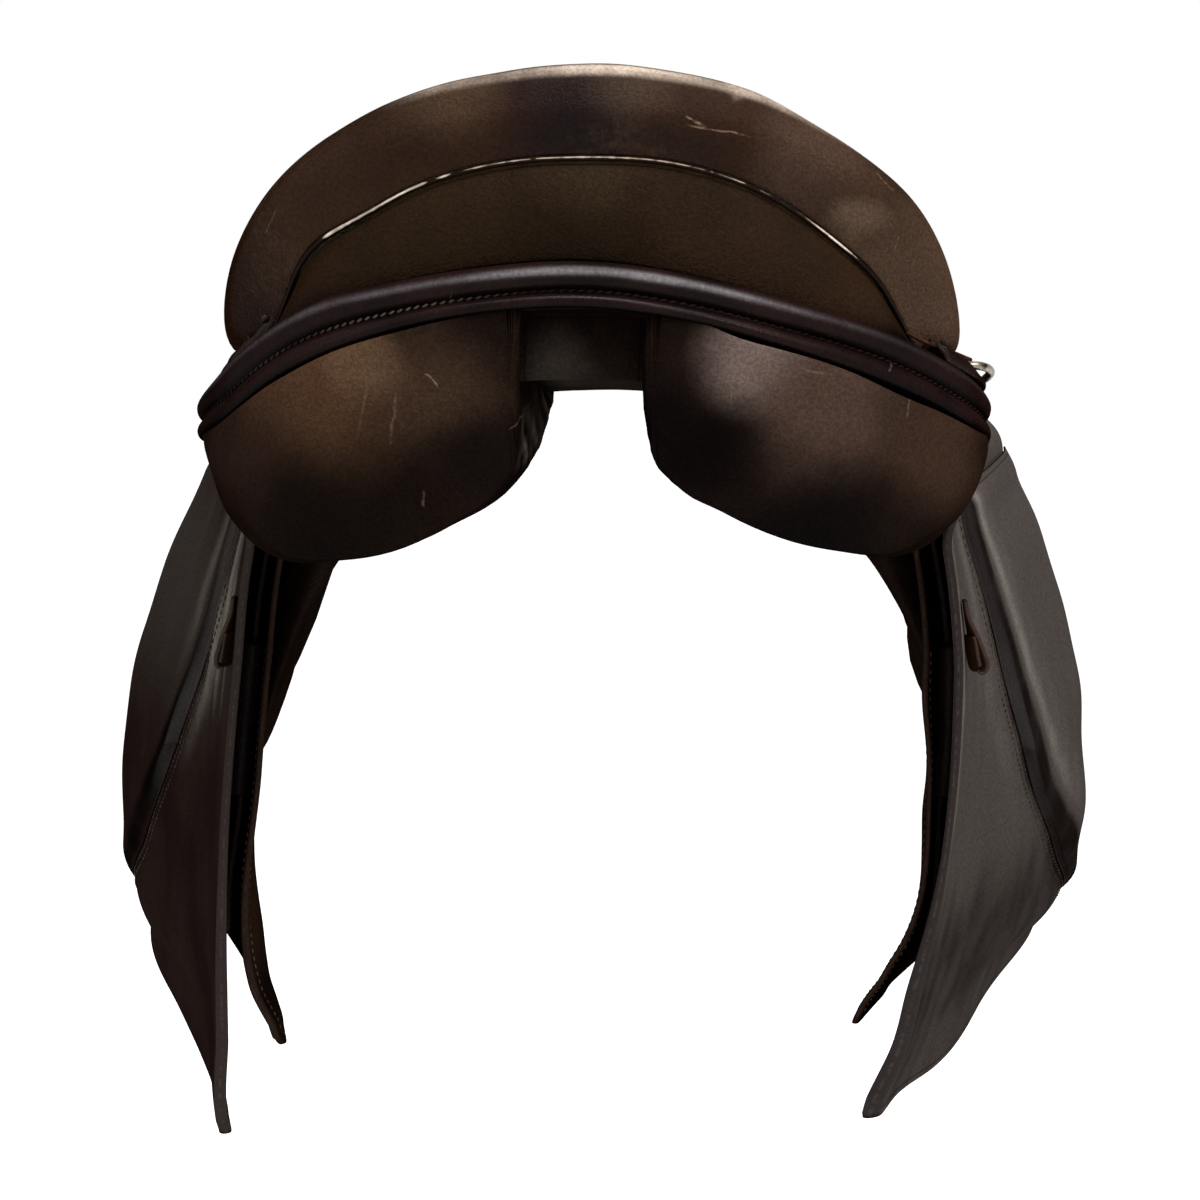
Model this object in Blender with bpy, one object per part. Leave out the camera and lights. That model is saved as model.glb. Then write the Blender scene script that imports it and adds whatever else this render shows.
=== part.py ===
"""An all-purpose riding saddle.

X is to the saddle's right, Y forward to the pommel and Z up. Y = 0 is the middle of the seat and Z = 0 the lowest
point of the rear panels. Lengths are in millimetres until they become vertices.
"""

import math

import bmesh
import bpy
import numpy as np
from mathutils import Vector

for old in list(bpy.data.objects):
    bpy.data.objects.remove(old, do_unlink=True)

MM = 0.001

# Leather and layers
CLEAR = 0.3
COVER = 2.5
FLAP = 4.5
SKIRT = 3.6
STRAP = 3.0
SWEAT = 3.0
GUARD = 2.2
GUARD_BACK = 1.2

# The straight seam between seat and skirt, which is also the line that skirt and flap turn about
SEAM_FRONT = Vector((66.0, 150.0, 118.0))
SEAM_REAR = Vector((146.0, -150.0, 96.0))
CORD_RADIUS = 2.2

# Flap outline as (Y, Z)
FLAP_TOP = [(178, 56), (120, 58), (40, 58), (-30, 55), (-71, 50)]
FLAP_REAR = [(-71, 50), (-72, -14), (-71, -60), (-68, -110), (-64, -165), (-58, -215), (-51, -262), (-43, -300)]
FLAP_BOTTOM = [(-43, -300), (-36, -308), (-10, -306), (35, -301), (85, -293), (145, -279), (195, -261), (217, -246)]
FLAP_FRONT = [(217, -246), (229, -226), (233, -196), (226, -150), (212, -100), (200, -50), (190, 0), (178, 56)]

# Girth straps
STRAP_WIDTH = 25.0
STRAP_PITCH = 32.0
STRAP_REAR_Y = -24.0
STRAP_TOP_Z = -2.0
STRAP_TIP_Z = -212.0
STRAP_PIVOT_Z = -12.0
GUARD_TOP = -61.0
GUARD_LOW = -138.0

# Stirrup bar
BAR_FRONT_Y = 148.0
BAR_LENGTH = 80.0
BAR_REAR_Y = BAR_FRONT_Y - BAR_LENGTH
BAR_HEIGHT = 13.0
BAR_THICK = 8.0
BAR_SLOT = 8.5
BAR_BASE = 3.5
BAR_FIT = 0.466
BAR_LOW = 70.0
PLATE_TOP = 100.0
LATCH_LENGTH = 30.0
LATCH_LAP = 14.0
PIN_RADIUS = 1.6

# Rear rings
RING_WIRE = 1.9
RING_WIDTH = 24.0
RING_DROP = 15.0

SIDES = (("left", -1.0), ("right", 1.0))

MATERIALS = {
    "seat_leather": ((0.060, 0.034, 0.024), 0.42, 0.0),
    "flap_leather": ((0.105, 0.070, 0.050), 0.50, 0.0),
    "panel_leather": ((0.050, 0.032, 0.024), 0.55, 0.0),
    "dark_leather": ((0.028, 0.019, 0.015), 0.60, 0.0),
    "piping_cream": ((0.620, 0.560, 0.480), 0.60, 0.0),
    "strap_leather": ((0.075, 0.048, 0.034), 0.50, 0.0),
    "lining": ((0.035, 0.028, 0.024), 0.80, 0.0),
    "foam": ((0.700, 0.660, 0.540), 0.90, 0.0),
    "webbing": ((0.560, 0.500, 0.400), 0.90, 0.0),
    "laminated_wood": ((0.480, 0.330, 0.190), 0.60, 0.0),
    "blued_steel": ((0.120, 0.130, 0.150), 0.35, 1.0),
    "nickel": ((0.620, 0.600, 0.570), 0.28, 1.0),
}


def material(name):
    made = bpy.data.materials.get(name)
    if made:
        return made
    colour, rough, metal = MATERIALS[name]
    made = bpy.data.materials.new(name)
    made.use_nodes = True
    shader = made.node_tree.nodes["Principled BSDF"]
    shader.inputs["Base Color"].default_value = (*colour, 1.0)
    shader.inputs["Roughness"].default_value = rough
    shader.inputs["Metallic"].default_value = metal
    return made


def settle(name, bm, look, pivot=(0.0, 0.0, 0.0)):
    """The built mesh as an object whose origin is at the pivot."""
    bmesh.ops.remove_doubles(bm, verts=bm.verts, dist=1e-4)
    bmesh.ops.dissolve_degenerate(bm, edges=bm.edges, dist=1e-4)
    bmesh.ops.triangulate(bm, faces=bm.faces)
    bmesh.ops.recalc_face_normals(bm, faces=bm.faces)
    bmesh.ops.translate(bm, verts=bm.verts, vec=-Vector(pivot))
    bmesh.ops.scale(bm, verts=bm.verts, vec=(MM, MM, MM))
    mesh = bpy.data.meshes.new(name)
    bm.to_mesh(mesh)
    bm.free()
    mesh.materials.append(material(look))
    thing = bpy.data.objects.new(name, mesh)
    thing.location = Vector(pivot) * MM
    bpy.context.scene.collection.objects.link(thing)
    return thing


# Curves


def through(points, count, closed=False):
    """Points at even steps of a smooth curve through the given ones."""
    p = np.asarray(points, float)
    n = len(p)
    spans = n if closed else n - 1
    t = np.linspace(0.0, spans, count, endpoint=not closed)
    k = np.minimum(t.astype(int), spans - 1)
    f = (t - k)[:, None]

    def at(i):
        return p[i % n] if closed else p[np.clip(i, 0, n - 1)]

    a, b, c, d = at(k - 1), at(k), at(k + 1), at(k + 2)
    if not closed:
        a = np.where((k == 0)[:, None], 2 * b - c, a)
        d = np.where((k == n - 2)[:, None], 2 * c - b, d)
    return b + 0.5 * f * (c - a + f * (2 * a - 5 * b + 4 * c - d + f * (3 * b - a - 3 * c + d)))


def even(points, count):
    """Points at even distances along a smooth open curve."""
    fine = through(points, 40 * len(points))
    run = np.concatenate([[0.0], np.cumsum(np.linalg.norm(np.diff(fine, axis=0), axis=1))])
    at = np.linspace(0.0, run[-1], count)
    return np.stack([np.interp(at, run, fine[:, i]) for i in range(fine.shape[1])], axis=1)


def smooth_of(x, knots, values):
    """A smooth function of x through the knots, held beyond its ends."""
    knots = np.asarray(knots, float)
    values = np.asarray(values, float)
    slopes = np.gradient(values, knots)
    x = np.clip(x, knots[0], knots[-1])
    k = np.clip(np.searchsorted(knots, x, side="right") - 1, 0, len(knots) - 2)
    h = knots[k + 1] - knots[k]
    f = (x - knots[k]) / h
    return (
        values[k] * (1 + 2 * f) * (1 - f) ** 2
        + values[k + 1] * (3 - 2 * f) * f**2
        + h * slopes[k] * f * (1 - f) ** 2
        - h * slopes[k + 1] * f**2 * (1 - f)
    )


def step(x, low, high):
    """0 below low, 1 above high and smooth between."""
    f = np.clip((x - low) / (high - low), 0.0, 1.0)
    return f * f * (3 - 2 * f)


def patch(top, rear, bottom, front, rows, columns):
    """A grid inside four edge curves. Top and bottom run along the columns, front and rear along the rows."""
    t, b = even(top, columns), even(bottom, columns)
    l, r = even(rear, rows), even(front, rows)
    u = np.linspace(0, 1, columns)[None, :, None]
    v = np.linspace(0, 1, rows)[:, None, None]
    return (
        (1 - v) * t[None]
        + v * b[None]
        + (1 - u) * l[:, None]
        + u * r[:, None]
        - (1 - u) * (1 - v) * t[0]
        - u * (1 - v) * t[-1]
        - (1 - u) * v * b[0]
        - u * v * b[-1]
    )


def seam(y):
    """The seam's point at y, right side."""
    f = (150.0 - np.asarray(y, float)) / 300.0
    start, end = np.array(SEAM_FRONT), np.array(SEAM_REAR)
    return start + f[..., None] * (end - start)


# The flank: the outer face of the hanging flap. Everything that hangs with it is a layer of this surface.

REAR_Z = [-306, -281, -225, -165, -110, -60, -15, 20, 40, 62]
REAR_X = [152, 160, 169, 174, 175, 173, 168, 160, 147, 125]
FRONT_Z = [-262, -245, -200, -150, -95, -50, -11, 15, 40, 62]
FRONT_X = [247, 258, 268, 264, 256, 243, 220, 202, 174, 142]
SPREAD_Y = [-80, -35, 5, 45, 105, 185, 240]
SPREAD = [0.0, 0.10, 0.24, 0.42, 0.68, 1.0, 1.05]


def flank_x(side, y, z):
    rear = smooth_of(z, REAR_Z, REAR_X)
    front = smooth_of(z, FRONT_Z, FRONT_X)
    x = rear + smooth_of(y, SPREAD_Y, SPREAD) * (front - rear)
    hip = (1 - step(y, -75, -5)) * 39 * step(z, -10, 60)
    hang = -side * (24 - 15 * smooth_of(y, SPREAD_Y, SPREAD)) * np.clip((-60 - z) / 240, 0, 1) ** 1.3
    return x + hip + hang


def flank(side, y, z, depth=0.0):
    """The flank's point at y and z, moved outward along its normal by depth."""
    y = np.asarray(y, float)
    z = np.asarray(z, float)
    x = flank_x(side, y, z)
    slope_y = (flank_x(side, y + 1, z) - flank_x(side, y - 1, z)) / 2
    slope_z = (flank_x(side, y, z + 1) - flank_x(side, y, z - 1)) / 2
    size = np.sqrt(1 + slope_y**2 + slope_z**2)
    moved = np.stack([x + depth / size, y - depth * slope_y / size, z - depth * slope_z / size], axis=-1)
    moved[..., 0] *= side
    return moved


def strap_depth(z):
    """How deep the straps' outer face lies: deeper where the guard passes over them."""
    return -FLAP - 1.4 - (GUARD + 1.5) * step(z, -222, -172)


def sweat_depth(z):
    """Behind the straps and the guard's band, and curling in towards the horse at its tip."""
    return strap_depth(z) - STRAP - 1.2 - (GUARD_BACK + 1.0) * step(z, -222, -172) - 19 * step(-z, 200, 274) ** 1.5


# Closed bodies from grids


def sheet(name, outer, inner, look, edge=0.0, pivot=(0.0, 0.0, 0.0)):
    """A closed sheet between two matching grids, its rim pushed out by edge to round it."""
    rows, columns = outer.shape[:2]
    ring = [(0, j) for j in range(columns)]
    ring += [(i, columns - 1) for i in range(1, rows)]
    ring += [(rows - 1, j) for j in range(columns - 2, -1, -1)]
    ring += [(i, 0) for i in range(rows - 2, 0, -1)]
    bm = bmesh.new()
    top = [[bm.verts.new(p) for p in row] for row in outer]
    low = [[bm.verts.new(p) for p in row] for row in inner]
    for i in range(rows - 1):
        for j in range(columns - 1):
            bm.faces.new((top[i][j], top[i][j + 1], top[i + 1][j + 1], top[i + 1][j]))
            bm.faces.new((low[i + 1][j], low[i + 1][j + 1], low[i][j + 1], low[i][j]))
    middle = []
    for i, j in ring:
        inside = (min(max(i, 1), rows - 2), min(max(j, 1), columns - 2))
        centre = (outer[i, j] + inner[i, j]) / 2
        away = centre - (outer[inside] + inner[inside]) / 2
        middle.append(bm.verts.new(centre + edge * away / np.linalg.norm(away)))
    for k, (i, j) in enumerate(ring):
        a, b = ring[(k + 1) % len(ring)]
        after = middle[(k + 1) % len(ring)]
        bm.faces.new((top[a][b], top[i][j], middle[k], after))
        bm.faces.new((after, middle[k], low[i][j], low[a][b]))
    return settle(name, bm, look, pivot)


def dish(name, outer, inner, look):
    """A closed bowl between two grids whose first rows are a single point each."""
    rows, columns = outer.shape[:2]
    bm = bmesh.new()
    faces = []
    for grid in (outer, inner):
        middle = bm.verts.new(grid[0, 0])
        rings = [[bm.verts.new(p) for p in row] for row in grid[1:]]
        for j in range(columns):
            k = (j + 1) % columns
            bm.faces.new((middle, rings[0][j], rings[0][k]))
            for i in range(rows - 2):
                bm.faces.new((rings[i][j], rings[i + 1][j], rings[i + 1][k], rings[i][k]))
        faces.append(rings[-1])
    for j in range(columns):
        k = (j + 1) % columns
        bm.faces.new((faces[0][j], faces[1][j], faces[1][k], faces[0][k]))
    return settle(name, bm, look)


def loft(name, rings, look, closed=False, pivot=(0.0, 0.0, 0.0)):
    """A closed body through rings of points, its ends capped unless it closes on itself."""
    bm = bmesh.new()
    made = [[bm.verts.new(p) for p in ring] for ring in rings]
    count = len(made[0])
    pairs = list(zip(made, made[1:]))
    if closed:
        pairs.append((made[-1], made[0]))
    for a, b in pairs:
        for j in range(count):
            k = (j + 1) % count
            bm.faces.new((a[j], a[k], b[k], b[j]))
    if not closed:
        for ring in (made[0], made[-1]):
            middle = bm.verts.new(sum((v.co for v in ring), Vector()) / count)
            for j in range(count):
                bm.faces.new((ring[j], ring[(j + 1) % count], middle))
    return settle(name, bm, look, pivot)


def sleeve(name, outer, inner, look, pivot=(0.0, 0.0, 0.0)):
    """A body with one hole through it, from matching outer and inner rings."""
    bm = bmesh.new()
    out = [[bm.verts.new(p) for p in ring] for ring in outer]
    hole = [[bm.verts.new(p) for p in ring] for ring in inner]
    count = len(out[0])
    for j in range(count):
        k = (j + 1) % count
        for a, b in zip(out, out[1:]):
            bm.faces.new((a[j], a[k], b[k], b[j]))
        for a, b in zip(hole, hole[1:]):
            bm.faces.new((a[k], a[j], b[j], b[k]))
        bm.faces.new((out[0][k], out[0][j], hole[0][j], hole[0][k]))
        bm.faces.new((out[-1][j], out[-1][k], hole[-1][k], hole[-1][j]))
    return settle(name, bm, look, pivot)


def swept(path, across, section, closed=False):
    """Rings of a section carried along a path: across is the section's first direction at each point."""
    path = np.asarray(path, float)
    ahead = np.gradient(path, axis=0)
    if closed:
        ahead = np.roll(path, -1, axis=0) - np.roll(path, 1, axis=0)
    ahead /= np.linalg.norm(ahead, axis=1)[:, None]
    across = np.broadcast_to(np.asarray(across, float), path.shape)
    first = across - (across * ahead).sum(axis=1)[:, None] * ahead
    first /= np.linalg.norm(first, axis=1)[:, None]
    second = np.cross(ahead, first)
    section = np.asarray(section, float)
    if section.ndim == 2:
        section = np.broadcast_to(section, (len(path), *section.shape))
    return path[:, None] + section[..., :1] * first[:, None] + section[..., 1:] * second[:, None]


def circle(radius, count):
    a = np.arange(count) * 2 * math.pi / count
    return np.stack([radius * np.cos(a), radius * np.sin(a)], axis=1)


def oblong(width, height, corner):
    """A rectangle with cut corners, centred."""
    w, h, c = width / 2, height / 2, corner
    return np.array([(w, h - c), (w - c, h), (c - w, h), (-w, h - c), (-w, c - h), (c - w, -h), (w - c, -h), (w, c - h)])


def prism(name, plan, low, high, side, look):
    """A plan in X and Y raised from low to high."""
    bm = bmesh.new()
    floor = [bm.verts.new((side * a, b, low)) for a, b in plan]
    grown = bmesh.ops.extrude_face_region(bm, geom=[bm.faces.new(floor)])
    lifted = [v for v in grown["geom"] if isinstance(v, bmesh.types.BMVert)]
    bmesh.ops.translate(bm, verts=lifted, vec=(0, 0, high - low))
    return settle(name, bm, look)


def block(name, low, high, side, look):
    bm = bmesh.new()
    bmesh.ops.create_cube(bm, size=1.0)
    for v in bm.verts:
        v.co = Vector((low[i] + high[i]) / 2 + v.co[i] * (high[i] - low[i]) for i in range(3))
        v.co.x *= side
    return settle(name, bm, look)


def rod(name, start, length, radius, side, look):
    """A round rod along X from its start."""
    x, y, z = start
    rings = [[(side * (x + t), y + a, z + b) for a, b in circle(radius, 16)] for t in (0, length)]
    return loft(name, rings, look)


def combine(thing, other, how):
    cut = thing.modifiers.new(other.name, "BOOLEAN")
    cut.object = other
    cut.operation = how
    cut.solver = "EXACT"
    other.hide_render = True
    other.display_type = "WIRE"


def mirrored(points, side):
    points = np.array(points, float)
    points[..., 0] *= side
    return points


# Seat: rings of points from the pommel's front round the right side to the cantle's middle

RIDGE = [
    (0, 208, 180), (27, 203, 175), (42, 185, 164), (50, 150, 146), (61, 100, 132), (75, 50, 121), (88, 0, 117),
    (104, -50, 118), (130, -88, 123), (150, -125, 139), (138, -160, 163), (111, -186, 187), (74, -203, 206),
    (36, -210, 215), (0, -212, 218),
]
ROLL = [
    (0, 240, 174), (36, 232, 164), (56, 206, 148), (63, 150, 132), (76, 100, 123), (89, 50, 116), (102, 0, 112),
    (118, -50, 109), (147, -93, 103), (167.5, -126, 104), (157, -162, 135), (128, -190, 165), (84, -213, 190),
    (41, -224, 199), (0, -226, 202),
]
EDGE = [
    (0, 236, 158), (32, 229, 148), (50, 206, 129), (62.5, 150, 118), (75.8, 100, 114.3), (89.2, 50, 110.7),
    (102.5, 0, 107), (115.8, -50, 103.3), (128, -95, 100.5), (143, -150, 98), (129, -178, 124), (110, -192, 143),
    (78, -209, 166), (40, -219, 178), (0, -222, 181),
]
SEAT_COLUMNS = 44
CENTRE = np.array([0.0, 0.0, 126.0])


def both_halves(points):
    right = np.asarray(points, float)
    left = right[-2:0:-1] * (-1, 1, 1)
    return through(np.concatenate([right, left]), SEAT_COLUMNS, closed=True)


def seat_grid():
    """The seat's outer face, as rows from its middle to its edge."""
    ridge, roll, edge = both_halves(RIDGE), both_halves(ROLL), both_halves(EDGE)
    power = np.where(ridge[:, 2] > CENTRE[2], 1.8, 2.2)
    middle = []
    for t in (0.0, 0.2, 0.4, 0.62, 0.82):
        p = CENTRE + t * (ridge - CENTRE)
        p[:, 2] = CENTRE[2] + (ridge[:, 2] - CENTRE[2]) * t**power
        middle.append(p)
    controls = np.stack([*middle, ridge, roll, edge])
    rows = 12
    out = np.empty((rows, SEAT_COLUMNS, 3))
    for j in range(SEAT_COLUMNS):
        out[:, j] = through(controls[:, j], rows)
    out[0] = CENTRE
    return out


def inward(grid, depth):
    """A bowl's grid moved along its inward normals."""
    down = np.gradient(grid, axis=0)
    round_ = np.roll(grid, -1, axis=1) - np.roll(grid, 1, axis=1)
    normal = np.cross(round_, down)
    normal /= np.maximum(np.linalg.norm(normal, axis=2), 1e-9)[..., None]
    normal[0] = (0, 0, -1)
    sign = np.where(normal[1:2, :, 2:3].mean() < 0, 1.0, -1.0)
    normal[1:] *= sign
    return grid + depth * normal


seat = seat_grid()
dish("seat_cover", seat, inward(seat, COVER), "seat_leather")

FOAM_LOW = 105.0


def foam_floor(columns, t):
    """The foam's underside at share t of the way from the middle to the edge."""
    rim = both_halves(EDGE)[columns]
    flat = rim[:, :2] / np.linalg.norm(rim[:, :2], axis=1)[:, None]
    p = rim.copy()
    p[:, :2] -= 6.0 * flat
    p[:, 2] += 4.0
    q = t * p
    q[:, 2] = FOAM_LOW + (p[:, 2] - FOAM_LOW) * t**2.2
    return q


every = np.arange(SEAT_COLUMNS)
foam_top = inward(seat, COVER + 4 * CLEAR)[:11]
foam_rows = np.linspace(0, 1, 11)
foam_under = np.stack([foam_floor(every, t) for t in foam_rows])
dish("seat_foam", foam_top, foam_under, "foam")

# Tree: cantle plate under the rear of the foam, rails, head arch and their steel

RAIL_FRONT = 157.8
RAIL_REAR = -34.0
RAIL_THICK = 9.0


def rail_x(y):
    return smooth_of(-np.asarray(y, float), [-158, -80, 0, 60, 112], [60, 67, 74, 81, 88])


def rail_z(y):
    return smooth_of(-np.asarray(y, float), [-158, -80, 0, 60, 112], [97, 97, 98.3, 98.5, 99])


def rail_half(y):
    return smooth_of(-np.asarray(y, float), [-158, -100, -60, 0, 112], [18, 15.0, 13.5, 13, 13])


def bar_side():
    """The widest place of the rail along the stirrup bar's base plate, and its fit."""
    y = np.linspace(BAR_REAR_Y - 12, BAR_FRONT_Y, 60)
    return float((rail_x(y) + rail_half(y)).max()) + BAR_FIT


cantle_columns = np.array([j for j in every if both_halves(EDGE)[j, 1] < -70])
plate_rows = np.linspace(0.42, 0.975, 6)
plate_top = np.stack([foam_floor(cantle_columns, t) for t in plate_rows])
plate_top[..., 2] -= 0.7
deep = np.array([9, 9, 10, 13, 20, 30.0])[:, None]
rise = np.clip((plate_top[-1, :, 2] - 100) / 80, 0, 1)[None]
plate_low = plate_top.copy()
plate_low[..., 2] -= 9 + (deep - 9) * rise
sheet("tree_cantle", plate_top, plate_low, "laminated_wood", 0.5)

for word, side in SIDES:
    y = np.linspace(RAIL_FRONT, RAIL_REAR, 8)
    middle = np.stack([side * rail_x(y), y, rail_z(y)], axis=1)
    sections = np.stack([oblong(2 * h, RAIL_THICK, 2.5) for h in rail_half(y)])
    loft(f"tree_rail_{word}", swept(middle, (1, 0, 0), sections), "laminated_wood")
    spring_y = np.linspace(RAIL_FRONT - 8, RAIL_REAR - 22, 8)
    spring_z = rail_z(spring_y) - RAIL_THICK / 2 - CLEAR - 1.1
    spring = np.stack([side * rail_x(spring_y), spring_y, spring_z], axis=1)
    loft(f"spring_{word}", swept(spring, (1, 0, 0), oblong(14, 1.6, 0.4)), "blued_steel")

ARCH = [(-92, 66), (-79, 82), (-58, 100), (-31, 114), (0, 119), (31, 114), (58, 100), (79, 82), (92, 66)]


def arch(name, y, depth, lift, thick, look, trim=0.0):
    points = even(ARCH, 15)
    if trim:
        points = points[int(trim) : -int(trim)]
    path = np.stack([points[:, 0], np.full(len(points), y), points[:, 1]], axis=1)
    outward = np.stack([-np.gradient(points[:, 1]), np.zeros(len(points)), np.gradient(points[:, 0])], axis=1)
    outward /= np.linalg.norm(outward, axis=1)[:, None]
    path = path + lift * outward
    loft(name, swept(path, (0, 1, 0), oblong(depth, thick, thick / 5)), look)


arch("tree_head", 178, 38, 0.0, 11.0, "laminated_wood")
arch("gullet_plate", 178, 30, -7.2, 2.6, "blued_steel", 2)
arch("head_plate", 178, 24, 6.8, 2.0, "blued_steel", 2)

# Leather over the head's front, from the seat's front edge to the arch

front_top = [(-54, 200, 123.5), (-48, 208.5, 128.3), (-33, 225.5, 145.4), (0, 231.5, 155.5)]
front_low = [(-72, 200.5, 80), (-55, 200.5, 91), (-30, 200.5, 105.5), (0, 200.5, 110.5)]
front_rows = [even([*row, *[(-x, y, z) for x, y, z in row[-2::-1]]], 13) for row in (front_top, front_low)]
front_face = []
for v in (0, 0.33, 0.67, 1):
    front_face.append(front_rows[0] * (1 - v) + front_rows[1] * v + (0, 4 * math.sin(math.pi * v), 0))
front_face = np.array(front_face)
sheet("pommel_facing", front_face, front_face - (0, 2.0, 0.6), "seat_leather", 0.3)

# Seat webbing: one strip along and one across, over the rails

web_y = np.linspace(156, -86, 9)
web_z = np.array([foam_floor(np.array([0 if v > 0 else SEAT_COLUMNS // 2]), abs(v) / 229.0)[0, 2] for v in web_y])
web_z -= 2.6 + 3.4 * step(web_y, 60, 150)
long_path = np.stack([np.zeros(9), web_y, web_z], axis=1)
loft("seat_web_long", swept(long_path, (1, 0, 0), oblong(36, 1.4, 0.3)), "webbing")
cross_x = np.array([-84.0, -56.0, -24.0, 24.0, 56.0, 84.0])
cross_path = np.stack([cross_x, np.full(6, 12.0), 100.3 + 3.8 * (np.abs(cross_x) > 50)], axis=1)
loft("seat_web_cross", swept(cross_path, (0, 1, 0), oblong(50, 1.4, 0.3)), "webbing")

# Cantle: facing, cream piping and the double welt under it

WELT = [
    (-168, -82, 40), (-174.5, -105, 51), (-175, -132, 61), (-157, -163, 76), (-126, -191, 97), (-80, -214, 113),
    (-36, -225, 122), (0, -228, 124),
    (36, -225, 122), (80, -214, 113), (126, -191, 97), (157, -163, 76), (175, -132, 61), (174.5, -105, 51),
    (168, -82, 40),
]
rim_rear = [j for j in every if seat[-1, j, 1] < -150]
leaving = seat[-1, rim_rear] - seat[-2, rim_rear]
leaving /= np.linalg.norm(leaving, axis=1)[:, None]
PIPING = even((seat[-1, rim_rear] + 2.8 * leaving)[::-1], 27)
loft("cantle_piping", swept(PIPING, (0, 0, 1), circle(2.0, 5)), "piping_cream")

DOUBLE = [
    (-4.2, 9.0), (-1.0, 12.2), (3.4, 11.4), (5.2, 7.6), (3.6, 3.0), (0.6, 0.4),
    (3.2, -2.2), (4.4, -6.0), (2.6, -9.4), (-1.0, -9.8), (-4.2, -7.0),
]


def outward_of(path):
    """Level directions away from the middle of the rear ellipse."""
    away = path - (0, -100, 0)
    away[:, 2] = 0
    return away / np.linalg.norm(away, axis=1)[:, None]


welt_path = even(WELT, 35)
welt_rings = swept(welt_path, outward_of(welt_path), DOUBLE)
up = welt_rings[17, :, 2].argmax()
if up not in (0, 1, 2):
    flipped = [(a, -b) for a, b in DOUBLE]
    welt_rings = swept(welt_path, outward_of(welt_path), flipped)
loft("rear_welt", welt_rings, "seat_leather")

face_top = even(PIPING, 23)[1:-1]
face_low = even([(-144, -157, 93), *[(x * 0.985, y + 3.0, z + 13.2) for x, y, z in WELT[4:11]], (144, -157, 93)], 23)[1:-1]
face_outer = []
for v in np.linspace(0.0, 1.0, 4):
    row = face_top * (1 - v) + face_low * v
    row[:, 2] += -3.2 * (1 - v)
    row -= outward_of(row) * (0.5 - 3.0 * math.sin(math.pi * v))
    face_outer.append(row)
face_outer = np.array(face_outer)
face_inner = face_outer.copy()
for i in range(4):
    face_inner[i] -= outward_of(face_outer[i]) * COVER
sheet("cantle_facing", face_outer, face_inner, "seat_leather", 0.3)

# Panels

GULLET_Y = [-222, -215, -150, -118, -50, 0, 50, 100, 150, 190, 220]
GULLET_Z = [112.5, 110, 97, 84, 68, 61.5, 64, 73, 89, 106, 112]
BELLY_X = [26, 30, 38, 57, 88, 115, 135, 156, 170, 176]
BELLY_Z = [74, 55, 41, 27, 10.5, 3.8, 1.0, 7.5, 21, 40]
BAND_X = [26, 70, 127, 155, 174]
BAND_Z = [113, 104, 86, 68, 50]


def rear_ring(y):
    """A panel's outline behind its widest point, where its end follows the rear ellipse."""
    lean = min(1.0, (-118 - y) / 108)
    reach = 31 + 145 * math.sqrt(max(0.0, 1 - lean**2.2))
    drop = 18 * float(step(y, -222, -118))
    out = [(27.5, float(smooth_of(27.5, BAND_X, BAND_Z)) - drop - 2)]
    share = (reach - 29) / 147
    out.append((29.0 - 1.0 * (1 - share), 56 + 20 * (1 - share)))
    for f in (0.10, 0.27, 0.47, 0.68, 0.86):
        x = 29 + (reach - 29) * f
        lift = 2.0 * (1 - share) * f**3
        out.append((x, float(smooth_of(x, BELLY_X, BELLY_Z)) + lift))
    low = float(smooth_of(reach, BELLY_X, BELLY_Z))
    high = float(smooth_of(reach, BAND_X, BAND_Z)) - 1
    out.append((29 + (reach - 29) * 0.965, low + 0.06 * (high - low)))
    out.append((reach, low + 0.28 * (high - low)))
    out.append((reach + 1.5 * share, low + 0.62 * (high - low)))
    out.append((29 + (reach - 29) * 0.985, high))
    for f in (0.75, 0.45, 0.2):
        x = 29 + (reach - 29) * f
        out.append((x, float(smooth_of(x, BAND_X, BAND_Z)) - drop))
    return out


PANEL_RINGS = {
    -50: [(28, 66), (29, 46), (42, 32), (64, 19), (88, 8), (110, 1), (126, -1), (135, 3), (140, 13), (142, 28),
          (137, 44), (115, 62), (86, 87), (54, 88.5)],
    20: [(27, 62), (29, 46), (42, 37), (60, 26), (82, 12), (104, -4), (122, -18), (134, -26), (144, -22), (148, -4),
         (138, 24), (108, 50), (77, 79), (52, 86)],
    90: [(30, 74), (34, 60), (52, 52), (76, 38), (104, 15), (130, -20), (150, -60), (162, -98), (170, -99), (174, -58),
         (152, 6), (108, 46), (75, 71), (50, 88)],
    150: [(33, 86), (38, 75), (60, 67), (86, 50), (116, 20), (142, -26), (158, -78), (169, -130), (181, -132),
          (192, -72), (172, -4), (108, 41), (77, 70), (50, 88)],
    200: [(42, 95), (48, 86), (68, 76), (92, 58), (120, 30), (148, -14), (162, -64), (172, -116), (184, -118),
          (194, -66), (174, -6), (112, 38), (84, 63.5), (60, 83.5)],
}


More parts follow.
